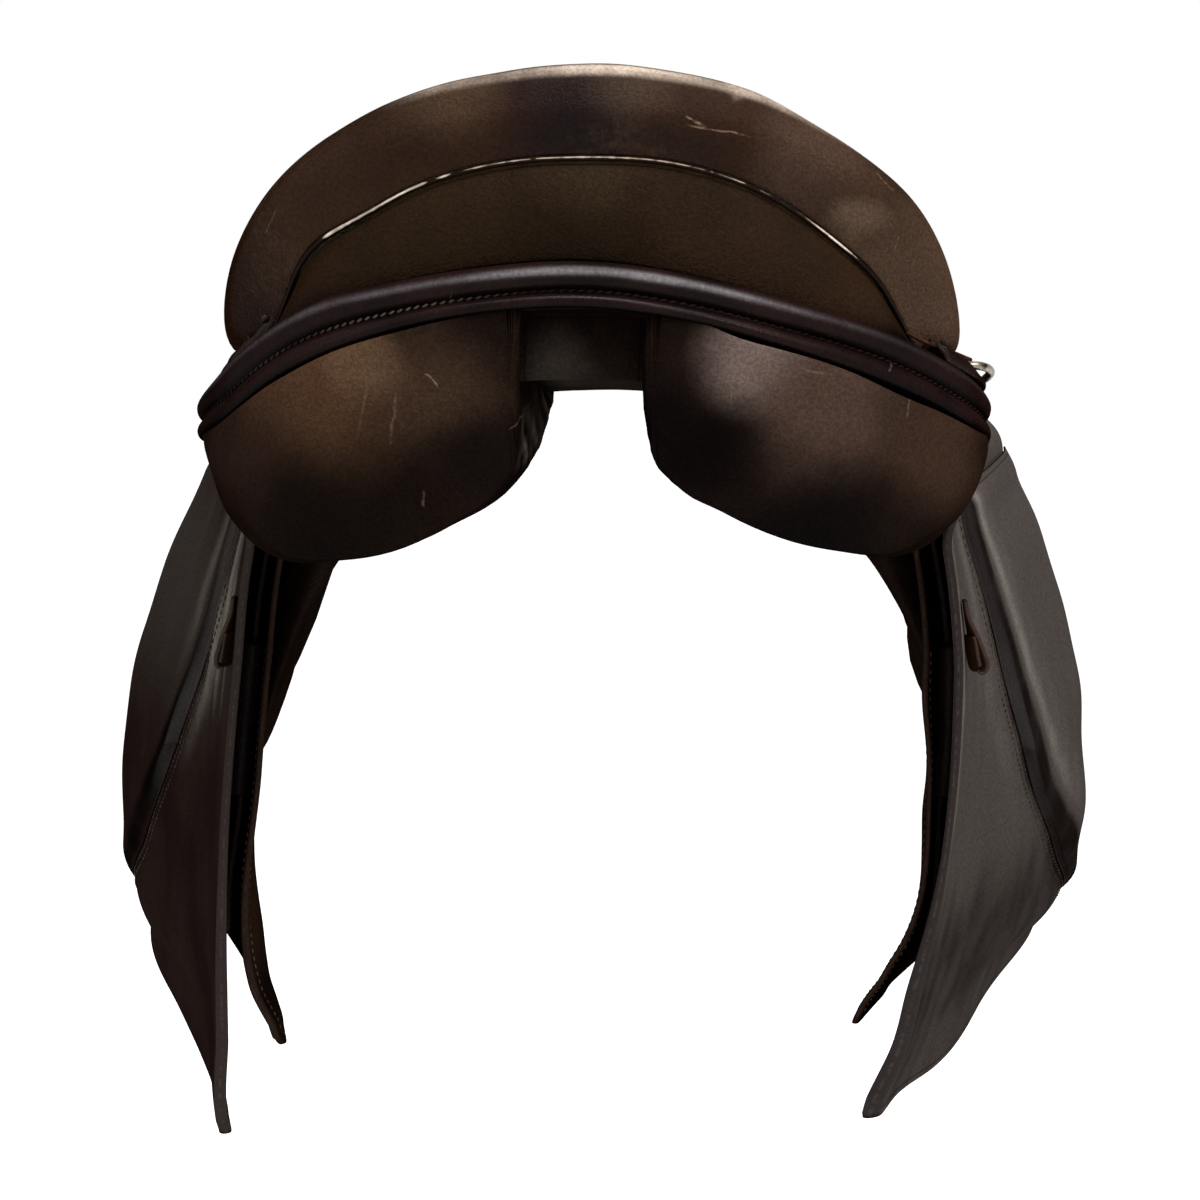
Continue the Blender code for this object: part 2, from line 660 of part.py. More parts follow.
def panel_rings():
    keys = sorted(PANEL_RINGS)
    stations = [-118, *keys]
    controls = np.array([rear_ring(-118.0), *[PANEL_RINGS[k] for k in keys]], float)
    rings = []
    ends = -118 - 108 * np.sin(np.radians([88, 74, 60, 46, 31, 13]))
    for y in [*ends, *np.linspace(-98, 200, 11)]:
        if y < -118:
            ring = np.array(rear_ring(float(y)))
        else:
            ring = np.empty((14, 2))
            for i in range(14):
                for c in range(2):
                    ring[i, c] = smooth_of(y, stations, controls[:, i, c])
        ring = through(ring, 20, closed=True)
        if y > -75:
            room = flank_x(1.0, y, ring[:, 1]) + 1.12 * (sweat_depth(ring[:, 1]) - SWEAT - 1.8)
            ring[:, 0] = np.minimum(ring[:, 0], room)
        rings.append(np.insert(ring, 1, y, axis=1))
    front = rings[-1]
    middle = front.mean(axis=0)
    for grow, ahead in ((0.93, 7.0), (0.78, 11.0)):
        ring = middle + (front - middle) * grow
        ring[:, 1] = 200 + ahead
        rings.append(ring)
    return np.array(rings)


panel = panel_rings()
for word, side in SIDES:
    loft(f"panel_{word}", mirrored(panel, side), "panel_leather")

lining_y = np.linspace(-221, 205, 11)
lining_x = np.linspace(-26, 26, 4)
gy, gx = np.meshgrid(lining_y, lining_x, indexing="ij")
gz = smooth_of(gy, GULLET_Y, GULLET_Z) - 3.5 * (gx / 26) ** 2 - 1
lining = np.stack([gx, gy, gz], axis=-1)
sheet("gullet_lining", lining + (0, 0, 1.1), lining - (0, 0, 1.1), "lining", 0.4)

# Hinge geometry shared by flap and skirt

HINGE_WAY = (SEAM_FRONT - SEAM_REAR).normalized()


def hinge_point(side, y):
    p = seam(np.array(float(y)))
    return Vector((side * p[0], p[1], p[2]))


strap_hinges = {}
for word, side in SIDES:
    pivot = hinge_point(side, 0)

    # Seam cord, on the line the skirt turns about
    cord = mirrored(seam(np.linspace(171, -58, 2)), side)
    loft(f"seam_cord_{word}", swept(cord, (0, 0, 1), circle(CORD_RADIUS, 6)), "seat_leather")

    # Flap
    outline = patch(FLAP_TOP[::-1], FLAP_REAR, FLAP_BOTTOM, FLAP_FRONT[::-1], 18, 12)
    fy, fz = outline[..., 0], outline[..., 1]
    sheet(f"flap_{word}", flank(side, fy, fz, 0.0), flank(side, fy, fz, -FLAP), "flap_leather", 1.0, pivot)

    # Knee pad sewn on the flap's front
    pad = patch(
        [(0, 8), (40, 8), (90, 9), (130, 10), (178, 10)],
        [(0, 8), (6, -30), (34, -88), (70, -134)],
        [(70, -134), (106, -168), (155, -204), (217, -239)],
        [(178, 10), (189, -40), (204, -100), (218, -150), (224.5, -196), (221.5, -226), (217, -239)],
        11,
        9,
    )
    u = np.linspace(0, 1, 9)[None, :]
    v = np.linspace(0, 1, 11)[:, None]
    crown = 1.3 + 3.6 * (np.sin(math.pi * u) * np.sin(math.pi * v)) ** 0.5
    py, pz = pad[..., 0], pad[..., 1]
    sheet(f"knee_pad_{word}", flank(side, py, pz, crown + 1.2), flank(side, py, pz, 1.4), "flap_leather", 0.6, pivot)

    # Keeper for the stirrup leather, standing off the flap
    s = np.linspace(0, 1, 8)
    off = 0.25 + 8.0 * np.clip(4 * s * (1 - s), 0, 1) ** 0.4
    kz = -38 - 36 * s
    path = flank(side, -59.0 + 0 * kz, kz, off + 1.1)
    loft(f"keeper_{word}", swept(path, (0, 1, 0), oblong(15, 2.2, 0.4)), "strap_leather", pivot=pivot)

    # Skirt over the stirrup bar and the flap's top
    ys = np.linspace(171, -56, 10)
    low_z = smooth_of(-ys, [-171, -120, -60, 0, 56], [52, 30, 19, 20, 27])
    grid = []
    for y, zl in zip(ys, low_z):
        start = seam(np.array(y)) + (2.9, 0, -0.6)
        join = flank(1.0, y, 60.0, SKIRT + 1.3)
        below = flank(1.0, y, 58.0, SKIRT + 1.3)
        lean = (below - join) / np.linalg.norm(below - join)
        span = np.linalg.norm(join - start)
        rows = []
        for t in np.linspace(0, 1, 6)[:-1]:
            h00, h10 = 2 * t**3 - 3 * t**2 + 1, t**3 - 2 * t**2 + t
            h01, h11 = 3 * t**2 - 2 * t**3, t**3 - t**2
            rows.append(h00 * start + h10 * span * np.array([0.95, 0, -0.05]) + h01 * join + h11 * span * 1.1 * lean)
        for t in np.linspace(0, 1, 4):
            rows.append(flank(1.0, y, 60 + (zl - 60) * t, SKIRT + 1.3))
        grid.append(rows)
    grid = np.array(grid)
    du = np.gradient(grid, axis=0)
    dv = np.gradient(grid, axis=1)
    normal = np.cross(du, dv)
    normal /= np.linalg.norm(normal, axis=2)[..., None]
    if normal[4, 6, 0] < 0:
        normal = -normal
    sheet(
        f"skirt_{word}",
        mirrored(grid, side),
        mirrored(grid - SKIRT * normal, side),
        "seat_leather",
        0.8,
        pivot,
    )

    # Skirt tail, sewn down beside the cantle
    ty = np.linspace(-60, -158, 6)
    tail = []
    for y in ty:
        start = seam(np.array(y)) + (2.0, 0, -0.8)
        reach = float(smooth_of(-y, [60, 85, 115, 140, 158], [164, 171, 179, 174, 160]))
        drop = float(smooth_of(-y, [60, 85, 115, 140, 158], [67, 67.5, 73, 81, 90]))
        end = np.array([reach, y, drop])
        out = []
        for t in np.linspace(0, 1, 5):
            p = start * (1 - t) + end * t
            p[2] += 7.5 * math.sin(math.pi * t) ** 1.0 * 0.6
            out.append(p)
        tail.append(out)
    tail = np.array(tail)
    sheet(
        f"skirt_tail_{word}",
        mirrored(tail, side),
        mirrored(tail - (1.2, 0, 2.4), side),
        "seat_leather",
        0.6,
    )

    # Sweat flap between the straps and the panel
    sweat = patch(
        [(-56, 40), (0, 40), (60, 38), (120, 36), (178, 32)],
        [(-56, 40), (-57, -60), (-57, -130), (-54, -190), (-46, -236), (-36, -267)],
        [(-36, -267), (-25, -274), (6, -264), (55, -244), (105, -222), (150, -200)],
        [(178, 32), (188, -20), (198, -70), (200, -120), (184, -165), (150, -200)],
        12,
        8,
    )
    sy, sz = sweat[..., 0], sweat[..., 1]
    sheet(
        f"sweat_flap_{word}",
        flank(side, sy, sz, sweat_depth(sz)),
        flank(side, sy, sz, sweat_depth(sz) - SWEAT),
        "dark_leather",
        0.6,
    )

    # Knee roll on the sweat flap's front
    roll = patch(
        [(132, 20), (150, 21), (172, 20)],
        [(132, 20), (140, -50), (146, -100), (140, -150)],
        [(140, -150), (160, -153), (180, -146)],
        [(172, 20), (184, -40), (192, -90), (180, -146)],
        8,
        5,
    )
    ry, rz = roll[..., 0], roll[..., 1]
    u = np.linspace(0, 1, 5)[None, :]
    v = np.linspace(0, 1, 8)[:, None]
    swell = (np.sin(math.pi * u) * np.sin(math.pi * v)) ** 0.45
    base = sweat_depth(rz) + 1.2
    sheet(
        f"knee_roll_{word}",
        flank(side, ry, rz, base + 1.2 + (-FLAP - 1.9 - base) * swell),
        flank(side, ry, rz, base),
        "dark_leather",
        0.4,
    )

    # Girth web, from the rail over the side to the straps
    web_front = min(STRAP_REAR_Y + 2 * STRAP_PITCH + 13, BAR_REAR_Y - 12.6)
    wy = np.linspace(STRAP_REAR_Y - 13, web_front, 4)
    web = []
    for y in wy:
        top_x = float(rail_x(y) + rail_half(y)) + 2.0
        hung = [flank(1.0, y, z, strap_depth(z) - STRAP / 2) for z in (40.0, 28.0, 15.0, STRAP_TOP_Z + 0.9)]
        web.append(even([(top_x, y, 101), (top_x + 1, y, 93), (top_x + 10, y, 80), *hung], 9))
    web = np.array(web)
    wn = np.cross(np.gradient(web, axis=0), np.gradient(web, axis=1))
    wn /= np.linalg.norm(wn, axis=2)[..., None]
    sheet(
        f"girth_web_{word}",
        mirrored(web + 1.2 * wn, side),
        mirrored(web - 1.2 * wn, side),
        "webbing",
        0.2,
    )

    # Girth straps with a row of holes
    for k in range(3):
        y0 = STRAP_REAR_Y + k * STRAP_PITCH
        z = np.concatenate([np.linspace(STRAP_TOP_Z, STRAP_TIP_Z + 12, 8), [STRAP_TIP_Z + 5, STRAP_TIP_Z]])
        outer, inner = [], []
        for zz in z:
            near = min(1.0, (zz - STRAP_TIP_Z) / 14)
            half = STRAP_WIDTH / 2 * (0.35 + 0.65 * math.sqrt(1 - (1 - near) ** 2))
            across = y0 + np.linspace(-half, half, 3)
            middle = flank(side, y0, zz, strap_depth(zz))
            way = flank(side, y0 + 8, zz, strap_depth(zz)) - flank(side, y0 - 8, zz, strap_depth(zz))
            way /= np.linalg.norm(way)
            sink = flank(side, y0, zz, strap_depth(zz) - STRAP) - middle
            line = middle + (across - y0)[:, None] * way
            outer.append(line)
            inner.append(line + sink)
        hinge = flank(side, y0, STRAP_PIVOT_Z, strap_depth(STRAP_PIVOT_Z) - STRAP / 2)
        sheet(
            f"girth_strap_{k + 1}_{word}",
            np.array(outer),
            np.array(inner),
            "strap_leather",
            0.3,
            tuple(hinge),
        )
        if k == 0:
            strap_hinges[word] = tuple(hinge)

    # Strap guard: a plate over the straps and a thin band behind them, joined at both ends
    g_rear = STRAP_REAR_Y - STRAP_WIDTH / 2 - 2.6
    g_front = STRAP_REAR_Y + 2 * STRAP_PITCH + STRAP_WIDTH / 2 + 2.6
    outer, inner = [], []
    for zz in np.linspace(GUARD_TOP, GUARD_LOW, 4):
        wide = np.linspace(g_rear - 2.0, g_front + 2.0, 5)
        slim = np.linspace(g_rear, g_front, 5)
        level = np.full(5, zz)
        back = strap_depth(zz) - STRAP - 1.0
        outer.append([*flank(side, wide, level, -FLAP - 0.9), *flank(side, wide[::-1], level, back - GUARD_BACK)])
        inner.append([*flank(side, slim, level, -FLAP - 0.9 - GUARD), *flank(side, slim[::-1], level, back)])
    sleeve(f"strap_guard_{word}", outer, inner, "strap_leather", strap_hinges[word])

    # Stirrup bar: a base plate on the rail, a leg out of its front end and the bar itself with a tongue for the latch
    bar_x = bar_side()
    inner_x = bar_x + BAR_BASE + BAR_SLOT
    outer_x = inner_x + BAR_THICK
    front = BAR_FRONT_Y
    tongue = BAR_REAR_Y + LATCH_LENGTH
    plan = [
        (bar_x + BAR_BASE - 1, front - 14), (bar_x + BAR_BASE + 3, front - 9), (inner_x, front - 9),
        (inner_x, tongue), (outer_x, tongue), (outer_x, front - 5), (outer_x - 5, front), (bar_x + BAR_BASE - 1, front),
    ]
    arm = prism(f"stirrup_bar_{word}", plan, BAR_LOW, BAR_LOW + BAR_HEIGHT, side, "nickel")
    plate = block(
        f"bar_plate_{word}",
        (bar_x, BAR_REAR_Y - 12, BAR_LOW - 0.5),
        (bar_x + BAR_BASE, front + 0.5, PLATE_TOP),
        side,
        "nickel",
    )
    lug = block(
        f"bar_lug_{word}",
        (inner_x, tongue - LATCH_LAP, BAR_LOW),
        (inner_x + BAR_THICK / 2 - 0.15, tongue + 2, BAR_LOW + BAR_HEIGHT),
        side,
        "nickel",
    )
    pin_y = tongue - LATCH_LAP / 2
    pin_z = BAR_LOW + BAR_HEIGHT / 2
    bore = rod(f"bar_bore_{word}", (inner_x - 2, pin_y, pin_z), BAR_THICK + 4, PIN_RADIUS + 0.12, side, "nickel")
    combine(arm, plate, "UNION")
    combine(arm, lug, "UNION")
    combine(arm, bore, "DIFFERENCE")

    # Latch, lapped on the tongue and turning on a pin. Its front end is round about the pin
    angles = np.radians([0, 20, 40, 58, 78, 98, 118, 142, 165, 180, 195, 218, 242, 262, 282, 302, 320, 340])
    around = []
    for t in angles:
        away = BAR_HEIGHT / 2
        if math.cos(t) < 0:
            away_y = (pin_y - BAR_REAR_Y) / -math.cos(t)
            away = min(away_y, away / max(abs(math.sin(t)), 1e-6))
        around.append((pin_y + away * math.cos(t), pin_z + away * math.sin(t)))
    radius = PIN_RADIUS + 0.12
    hole = [(pin_y + radius * math.cos(t), pin_z + radius * math.sin(t)) for t in angles]
    slab_x = (inner_x + BAR_THICK / 2 + 0.15, outer_x)
    sleeve(
        f"bar_latch_{word}",
        [[(side * x, a, b) for a, b in around] for x in slab_x],
        [[(side * x, a, b) for a, b in hole] for x in slab_x],
        "nickel",
        (side * outer_x, pin_y, pin_z),
    )
    rod(f"latch_pin_{word}", (inner_x, pin_y, pin_z), BAR_THICK + 0.6, PIN_RADIUS, side, "blued_steel")

# Rear ring on the right and the leather chape that holds it. Along: down the slope of the skirt's tail. Off: away from it.
along = np.array([0.84, 0.0, -0.54])
off = np.array([0.54, 0.0, 0.84])
ring_at = np.array([170.9, -115.0, 88.2])
half = RING_WIDTH / 2
turn = [(4 + (RING_DROP - 4) * math.sin(t), -half * math.cos(t)) for t in np.linspace(0.25, math.pi - 0.25, 7)]
bow = [(0, -half), *turn, (0, half), (0, half / 3), (0, -half / 3)]
ring_path = np.array([ring_at + a * along + (0, b, 0) for a, b in bow])
loft(
    "rear_ring_right",
    swept(ring_path, off, circle(RING_WIRE, 6), closed=True),
    "nickel",
    closed=True,
    pivot=tuple(ring_at),
)
fold = [(-17, -1.2), (-9, -2.2), (-2, -3.2), (1.9, -2.7), (3.3, 0), (1.9, 2.7), (-2, 3.0), (-9, 1.2), (-17, 1.1)]
fold_path = np.array([ring_at + a * along + b * off for a, b in fold])
loft("ring_chape_right", swept(fold_path, (0, 1, 0), oblong(15, 1.4, 0.3)), "strap_leather")
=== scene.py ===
"""The all-purpose saddle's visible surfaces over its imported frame.

X is to the rider's right, Y forward to the pommel and Z up. Lengths are in millimetres until they become
vertices.
"""

import math

import bpy
import numpy as np
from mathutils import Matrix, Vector


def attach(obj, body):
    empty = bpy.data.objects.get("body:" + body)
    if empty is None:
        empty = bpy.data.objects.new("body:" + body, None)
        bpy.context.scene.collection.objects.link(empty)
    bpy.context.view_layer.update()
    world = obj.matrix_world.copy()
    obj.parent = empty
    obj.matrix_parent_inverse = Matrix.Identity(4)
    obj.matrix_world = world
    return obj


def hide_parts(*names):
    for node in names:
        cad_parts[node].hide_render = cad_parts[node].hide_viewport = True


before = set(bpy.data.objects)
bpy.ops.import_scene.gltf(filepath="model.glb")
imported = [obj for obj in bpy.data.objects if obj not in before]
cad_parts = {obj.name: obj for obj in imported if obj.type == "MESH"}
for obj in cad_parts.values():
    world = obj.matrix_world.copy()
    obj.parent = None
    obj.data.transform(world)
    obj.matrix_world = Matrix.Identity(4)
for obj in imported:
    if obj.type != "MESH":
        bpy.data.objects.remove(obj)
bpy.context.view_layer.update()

MM = 0.001
SIDES = (("left", -1.0), ("right", 1.0))

# Camera: behind the saddle, a little to its right and a little above

YAW, PITCH = math.radians(1.8), math.radians(9.3)
lens = bpy.data.cameras.new("camera")
lens.lens = 99.15
lens.sensor_width = 36.0
camera = bpy.data.objects.new("camera", lens)
camera.location = (0.050, -1.625, 0.220)
gaze = Vector((-math.sin(YAW) * math.cos(PITCH), math.cos(YAW) * math.cos(PITCH), -math.sin(PITCH)))
camera.rotation_euler = gaze.to_track_quat("-Z", "Y").to_euler()
bpy.context.scene.collection.objects.link(camera)
bpy.context.scene.camera = camera

# Curves and smooth functions


def step(x, low, high):
    """0 below low, 1 above high and 3f2 - 2f3 between, f being the share of the way."""
    f = np.clip((np.asarray(x, float) - low) / (high - low), 0.0, 1.0)
    return f * f * (3 - 2 * f)


def smooth_of(x, knots, values):
    """A cubic Hermite function of x through the knots, with central slopes, held beyond its ends."""
    knots, values = np.asarray(knots, float), np.asarray(values, float)
    slopes = np.gradient(values, knots)
    x = np.clip(x, knots[0], knots[-1])
    k = np.clip(np.searchsorted(knots, x, side="right") - 1, 0, len(knots) - 2)
    h = knots[k + 1] - knots[k]
    f = (x - knots[k]) / h
    ends = values[k] * (1 + 2 * f) * (1 - f) ** 2 + values[k + 1] * (3 - 2 * f) * f**2
    return ends + h * slopes[k] * f * (1 - f) ** 2 - h * slopes[k + 1] * f**2 * (1 - f)


def through(points, count, closed=False):
    """Catmull-Rom curve through the points along the first axis, sampled at even parameter steps."""
    p = np.asarray(points, float)
    n = len(p)
    spans = n if closed else n - 1
    t = np.linspace(0.0, spans, count, endpoint=not closed)
    k = np.minimum(t.astype(int), spans - 1)
    f = (t - k).reshape(-1, *[1] * (p.ndim - 1))
    if closed:
        a, b, c, d = (p[(k + i) % n] for i in (-1, 0, 1, 2))
    else:
        q = np.concatenate([2 * p[:1] - p[1:2], p, 2 * p[-1:] - p[-2:-1]])
        a, b, c, d = (q[k + i] for i in (0, 1, 2, 3))
    return b + 0.5 * f * (c - a + f * (2 * a - 5 * b + 4 * c - d + f * (3 * b - a - 3 * c + d)))


def even(points, count):
    """The same curve, open, resampled at even distances along it."""
    fine = through(points, 40 * len(points))
    run = np.concatenate([[0.0], np.cumsum(np.linalg.norm(np.diff(fine, axis=0), axis=1))])
    at = np.linspace(0.0, run[-1], count)
    return np.stack([np.interp(at, run, c) for c in fine.T], axis=1)


def patch(top, rear, bottom, front, rows, columns):
    """Coons patch: the two ruled blends of opposite edge curves less the bilinear blend of the corners."""
    t, b = even(top, columns), even(bottom, columns)
    l, r = even(rear, rows), even(front, rows)
    u = np.linspace(0, 1, columns)[None, :, None]
    v = np.linspace(0, 1, rows)[:, None, None]
    ruled = (1 - v) * t[None] + v * b[None] + (1 - u) * l[:, None] + u * r[:, None]
    return ruled - (1 - u) * (1 - v) * t[0] - u * (1 - v) * t[-1] - (1 - u) * v * b[0] - u * v * b[-1]


def waves(a, b, seed, size=40.0, parts=7):
    """Soft unevenness from -1 to 1: the mean of sine waves of seeded directions and lengths near size."""
    rng = np.random.default_rng(seed)
    turn, phase = rng.uniform(0, 2 * math.pi, (2, parts))
    length = size * rng.uniform(0.6, 1.7, parts)
    total = 0.0
    for i in range(parts):
        run = a * math.cos(turn[i]) + b * math.sin(turn[i])
        total = total + np.sin(2 * math.pi * run / length[i] + phase[i])
    return total / parts


def unit(v):
    """Vectors divided by their length."""
    return v / np.maximum(np.linalg.norm(v, axis=-1, keepdims=True), 1e-9)


def normals(grid, wrap=False):
    """Cross product of the grid's two central differences, as unit vectors."""
    across = np.roll(grid, -1, 1) - np.roll(grid, 1, 1) if wrap else np.gradient(grid, axis=1)
    return unit(np.cross(across, np.gradient(grid, axis=0)))


def mirrored(points, side):
    """The right side's points, or their mirror image for side -1."""
    return np.asarray(points, float) * (side, 1, 1)


# The real saddle isn't quite even: soft local shifts as centre, radii and shift in x and z

PUSHES = [
    ((105, -182, 188), (45, 70, 34), (-2.2, -3.0)), ((160, -135, 128), (34, 60, 50), (-2.8, -0.8)),
    ((-62, -195, 200), (60, 60, 34), (0.2, -0.7)), ((-152, -150, 145), (36, 60, 40), (0.6, 0)),
    ((-172, -140, 78), (14, 50, 14), (2.5, 0)), ((-118, -180, 139), (24, 60, 26), (-3.5, 5.0)),
    ((-30, -110, 36), (22, 90, 24), (3.5, -4.0)), ((-58, -115, 22), (34, 90, 26), (6.5, -6.5)),
    ((-75, -150, 8), (60, 90, 25), (1.0, -2.5)), ((-28, -180, 85), (12, 70, 26), (-2.5, 0)),
    ((80, -140, 8), (60, 90, 25), (1.0, 7.5)), ((44, -120, 40), (24, 90, 24), (2.5, 1.5)),
    ((166, -120, 34), (26, 60, 24), (4.0, 0)), ((29, -200, 75), (14, 60, 44), (-3.5, 0)),
    ((-184, -128, 52), (14, 40, 12), (-1.8, 0)), ((-245, 150, -72), (60, 90, 36), (3.0, 0)),
    ((-262, 200, -200), (60, 90, 30), (4.5, 0)), ((-250, 180, -266), (60, 90, 34), (-7.5, 0)),
    ((-190, -45, -305), (40, 60, 34), (-8.0, -4.5)), ((-215, 150, 12), (46, 90, 26), (-6.0, 0)),
    ((-160, 160, -25), (24, 60, 30), (-9.5, 0)), ((-182, 170, -105), (24, 60, 32), (3.5, 0)),
    ((262, 195, -165), (70, 110, 46), (-8.5, 0)), ((262, 200, -218), (60, 90, 22), (-6.0, 0)),
    ((250, 165, -62), (60, 100, 40), (-8.5, 0)), ((238, 130, -286), (55, 90, 28), (-10.0, 4.5)),
    ((216, 165, 30), (46, 90, 24), (12.0, 0)), ((172, 160, -106), (24, 60, 36), (-11.0, 0)),
    ((160, 160, -34), (24, 60, 24), (3.0, 0)), ((165, -42, -300), (40, 60, 30), (3.0, 14.0)),
    ((130, -36, -262), (24, 60, 26), (5.0, 7.0)), ((152, -60, -140), (12, 18, 50), (4.0, 0)),
    ((152, -60, -84), (14, 18, 20), (-2.5, 0)), ((258, 190, -106), (50, 100, 25), (-4.8, 0)),
    ((232, 175, -22), (40, 90, 20), (0.8, 0)), ((200, 100, 24), (40, 90, 18), (9.5, 0)),
    ((203, 110, 36), (40, 80, 16), (6.5, 0)), ((-160, -45, -215), (16, 60, 46), (5.0, 1.0)),
    ((-190, -45, -240), (14, 60, 50), (-1.2, 0)), ((-152, -40, -268), (20, 60, 20), (1.5, 2.5)),
    ((-155, 150, -64), (22, 70, 26), (-4.5, 0)), ((148, 150, -58), (20, 70, 24), (3.5, 0)),
]


def settled(p):
    """Each point moved by every shift, weighted by the Gaussian of its distance over the radii."""
    total = np.zeros_like(p)
    for centre, radii, (dx, dz) in PUSHES:
        total += np.exp(-(((p - centre) / radii) ** 2).sum(axis=1, keepdims=True)) * (dx, 0, dz)
    return p + total


# Meshes


def put(name, points, faces, look, **marks):
    """One smooth object at the origin. Each mark is a number at every point, kept as an attribute."""
    quads = [np.asarray(f, np.int64) for f in faces if len(f)]
    points = settled(np.asarray(points, float))
    volume = 0.0
    for f in quads:
        for i in range(1, f.shape[1] - 1):
            a, b, c = points[f[:, 0]], points[f[:, i]], points[f[:, i + 1]]
            volume += (a * np.cross(b, c)).sum()
    if volume < 0:
        quads = [f[:, ::-1] for f in quads]
    corners = np.concatenate([f.ravel() for f in quads]).astype(np.int32)
    sides = np.concatenate([np.full(len(f), f.shape[1]) for f in quads])
    starts = np.concatenate([[0], np.cumsum(sides)[:-1]]).astype(np.int32)
    mesh = bpy.data.meshes.new(name)
    mesh.vertices.add(len(points))
    mesh.vertices.foreach_set("co", (points * MM).astype(np.float32).ravel())
    mesh.loops.add(len(corners))
    mesh.loops.foreach_set("vertex_index", corners)
    mesh.polygons.add(len(sides))
    mesh.polygons.foreach_set("loop_start", starts)
    mesh.update(calc_edges=True)
    for key, value in marks.items():
        kept = mesh.attributes.new(key, "FLOAT", "POINT").data
        kept.foreach_set("value", np.asarray(value, np.float32).ravel())
    mesh.shade_smooth()
    mesh.materials.append(look)
    made = bpy.data.objects.new(name, mesh)
    bpy.context.scene.collection.objects.link(made)
    return made


def grid_faces(index, wrap=False):
    """Quads between neighbouring rows and columns of an index grid."""
    after = np.roll(index, -1, axis=1) if wrap else index[:, 1:]
    here = index if wrap else index[:, :-1]
    return np.stack([here[:-1], after[:-1], after[1:], here[1:]], axis=-1).reshape(-1, 4)


def shell(name, outer, inner, look, edge=1.0, laps=6, **marks):
    """A closed sheet between two matching grids, its rim half an ellipse that stands out by edge.

    The mark ply runs from 0 on the outer face over the rim to 1 on the inner one, and border is the distance
    from the rim, by the shortest of the four runs along the grid's lines.
    """
    rows, columns = outer.shape[:2]
    index = np.arange(rows * columns).reshape(rows, columns)
    ring = np.concatenate([index[0], index[1:, -1], index[-1, -2::-1], index[-2:0:-1, 0]])
    i, j = np.divmod(ring, columns)
    near = (np.clip(i, 1, rows - 2), np.clip(j, 1, columns - 2))
    middle, half = (outer[i, j] + inner[i, j]) / 2, (outer[i, j] - inner[i, j]) / 2
    away = unit(middle - (outer[near] + inner[near]) / 2)
    turn = (np.arange(1, laps) / laps * math.pi)[:, None, None]
    rim = middle + np.cos(turn) * half + np.sin(turn) * edge * away
    base = rows * columns
    rows_between = 2 * base + np.arange(rim.shape[0] * len(ring)).reshape(-1, len(ring))
    belt = np.concatenate([ring[None], rows_between, ring[None] + base])
    points = np.concatenate([outer.reshape(-1, 3), inner.reshape(-1, 3), rim.reshape(-1, 3)])
    faces = [grid_faces(index), grid_faces(index + base)[:, ::-1], grid_faces(belt, wrap=True)[:, ::-1]]
    down = np.cumsum(np.linalg.norm(np.diff(outer, axis=0, prepend=outer[:1]), axis=2), axis=0)
    along = np.cumsum(np.linalg.norm(np.diff(outer, axis=1, prepend=outer[:, :1]), axis=2), axis=1)
    border = np.minimum(np.minimum(down, down[-1:] - down), np.minimum(along, along[:, -1:] - along)).ravel()
    ply = np.concatenate([np.zeros(base), np.ones(base), np.repeat(np.arange(1, laps) / laps, len(ring))])
    marks = {**marks, "border": border}
    marks = {key: np.concatenate([v.ravel(), v.ravel(), np.zeros(rim.size // 3)]) for key, v in marks.items()}
    return put(name, points, faces, look, ply=ply, **marks)


def tube(name, rings, look, wrap=False, **marks):
    """A closed skin over a row of closed rings, its ends fans to their centres unless the row wraps round."""
    count, around = rings.shape[:2]
    index = np.arange(count * around).reshape(count, around)
    points = rings.reshape(-1, 3)
    if wrap:
        return put(name, points, [grid_faces(np.concatenate([index, index[:1]]), wrap=True)], look, **marks)
    ends = rings[[0, -1]].mean(axis=1)
    points = np.concatenate([points, ends])
    first, last = index[0], index[-1]
    size = count * around
    caps = np.concatenate([
        np.stack([np.roll(first, -1), first, np.full(around, size)], axis=1),
        np.stack([last, np.roll(last, -1), np.full(around, size + 1)], axis=1),
    ])
    flat = {key: np.ravel(value) for key, value in marks.items()}
    marks = {key: np.append(value, value[[0, -1]]) for key, value in flat.items()}
    return put(name, points, [grid_faces(index, wrap=True), caps], look, **marks)


CAP_TURN = np.radians([25, 48, 68, 84])[:, None, None]
CAP = len(CAP_TURN)


def rounded(rings, reach):
    """Rings with a quarter ellipse of CAP rings added at both ends.

    Each added ring shrinks by the cosine of its turn and moves out by reach times the sine.
    """
    out = [rings]
    for end, before, where in ((rings[:1], rings[1:2], 0), (rings[-1:], rings[-2:-1], 1)):
        centre = end.mean(axis=1, keepdims=True)
        way = unit(centre - before.mean(axis=1, keepdims=True))
        cap = centre + (end - centre) * np.cos(CAP_TURN) + way * reach * np.sin(CAP_TURN)
        out = [cap[::-1], *out] if where == 0 else [*out, cap]
    return np.concatenate(out)


def swept(path, across, profile, closed=False):
    """A profile carried along a path.

    Its first direction is across less its part along the path, its second the cross product of path and
    first.
    """
    ahead = np.roll(path, -1, 0) - np.roll(path, 1, 0) if closed else np.gradient(path, axis=0)
    ahead = unit(ahead)
    across = np.broadcast_to(np.asarray(across, float), path.shape)
    first = unit(across - (across * ahead).sum(axis=1, keepdims=True) * ahead)
    second = np.cross(ahead, first)
    profile = np.asarray(profile, float)
    if profile.ndim == 2:
        profile = np.broadcast_to(profile, (len(path), *profile.shape))
    return path[:, None] + profile[..., :1] * first[:, None] + profile[..., 1:] * second[:, None]


def circle(radius, count=16):
    """Cosine and sine of even turns times the radius."""
    a = np.arange(count) * 2 * math.pi / count
    return np.stack([radius * np.cos(a), radius * np.sin(a)], axis=1)


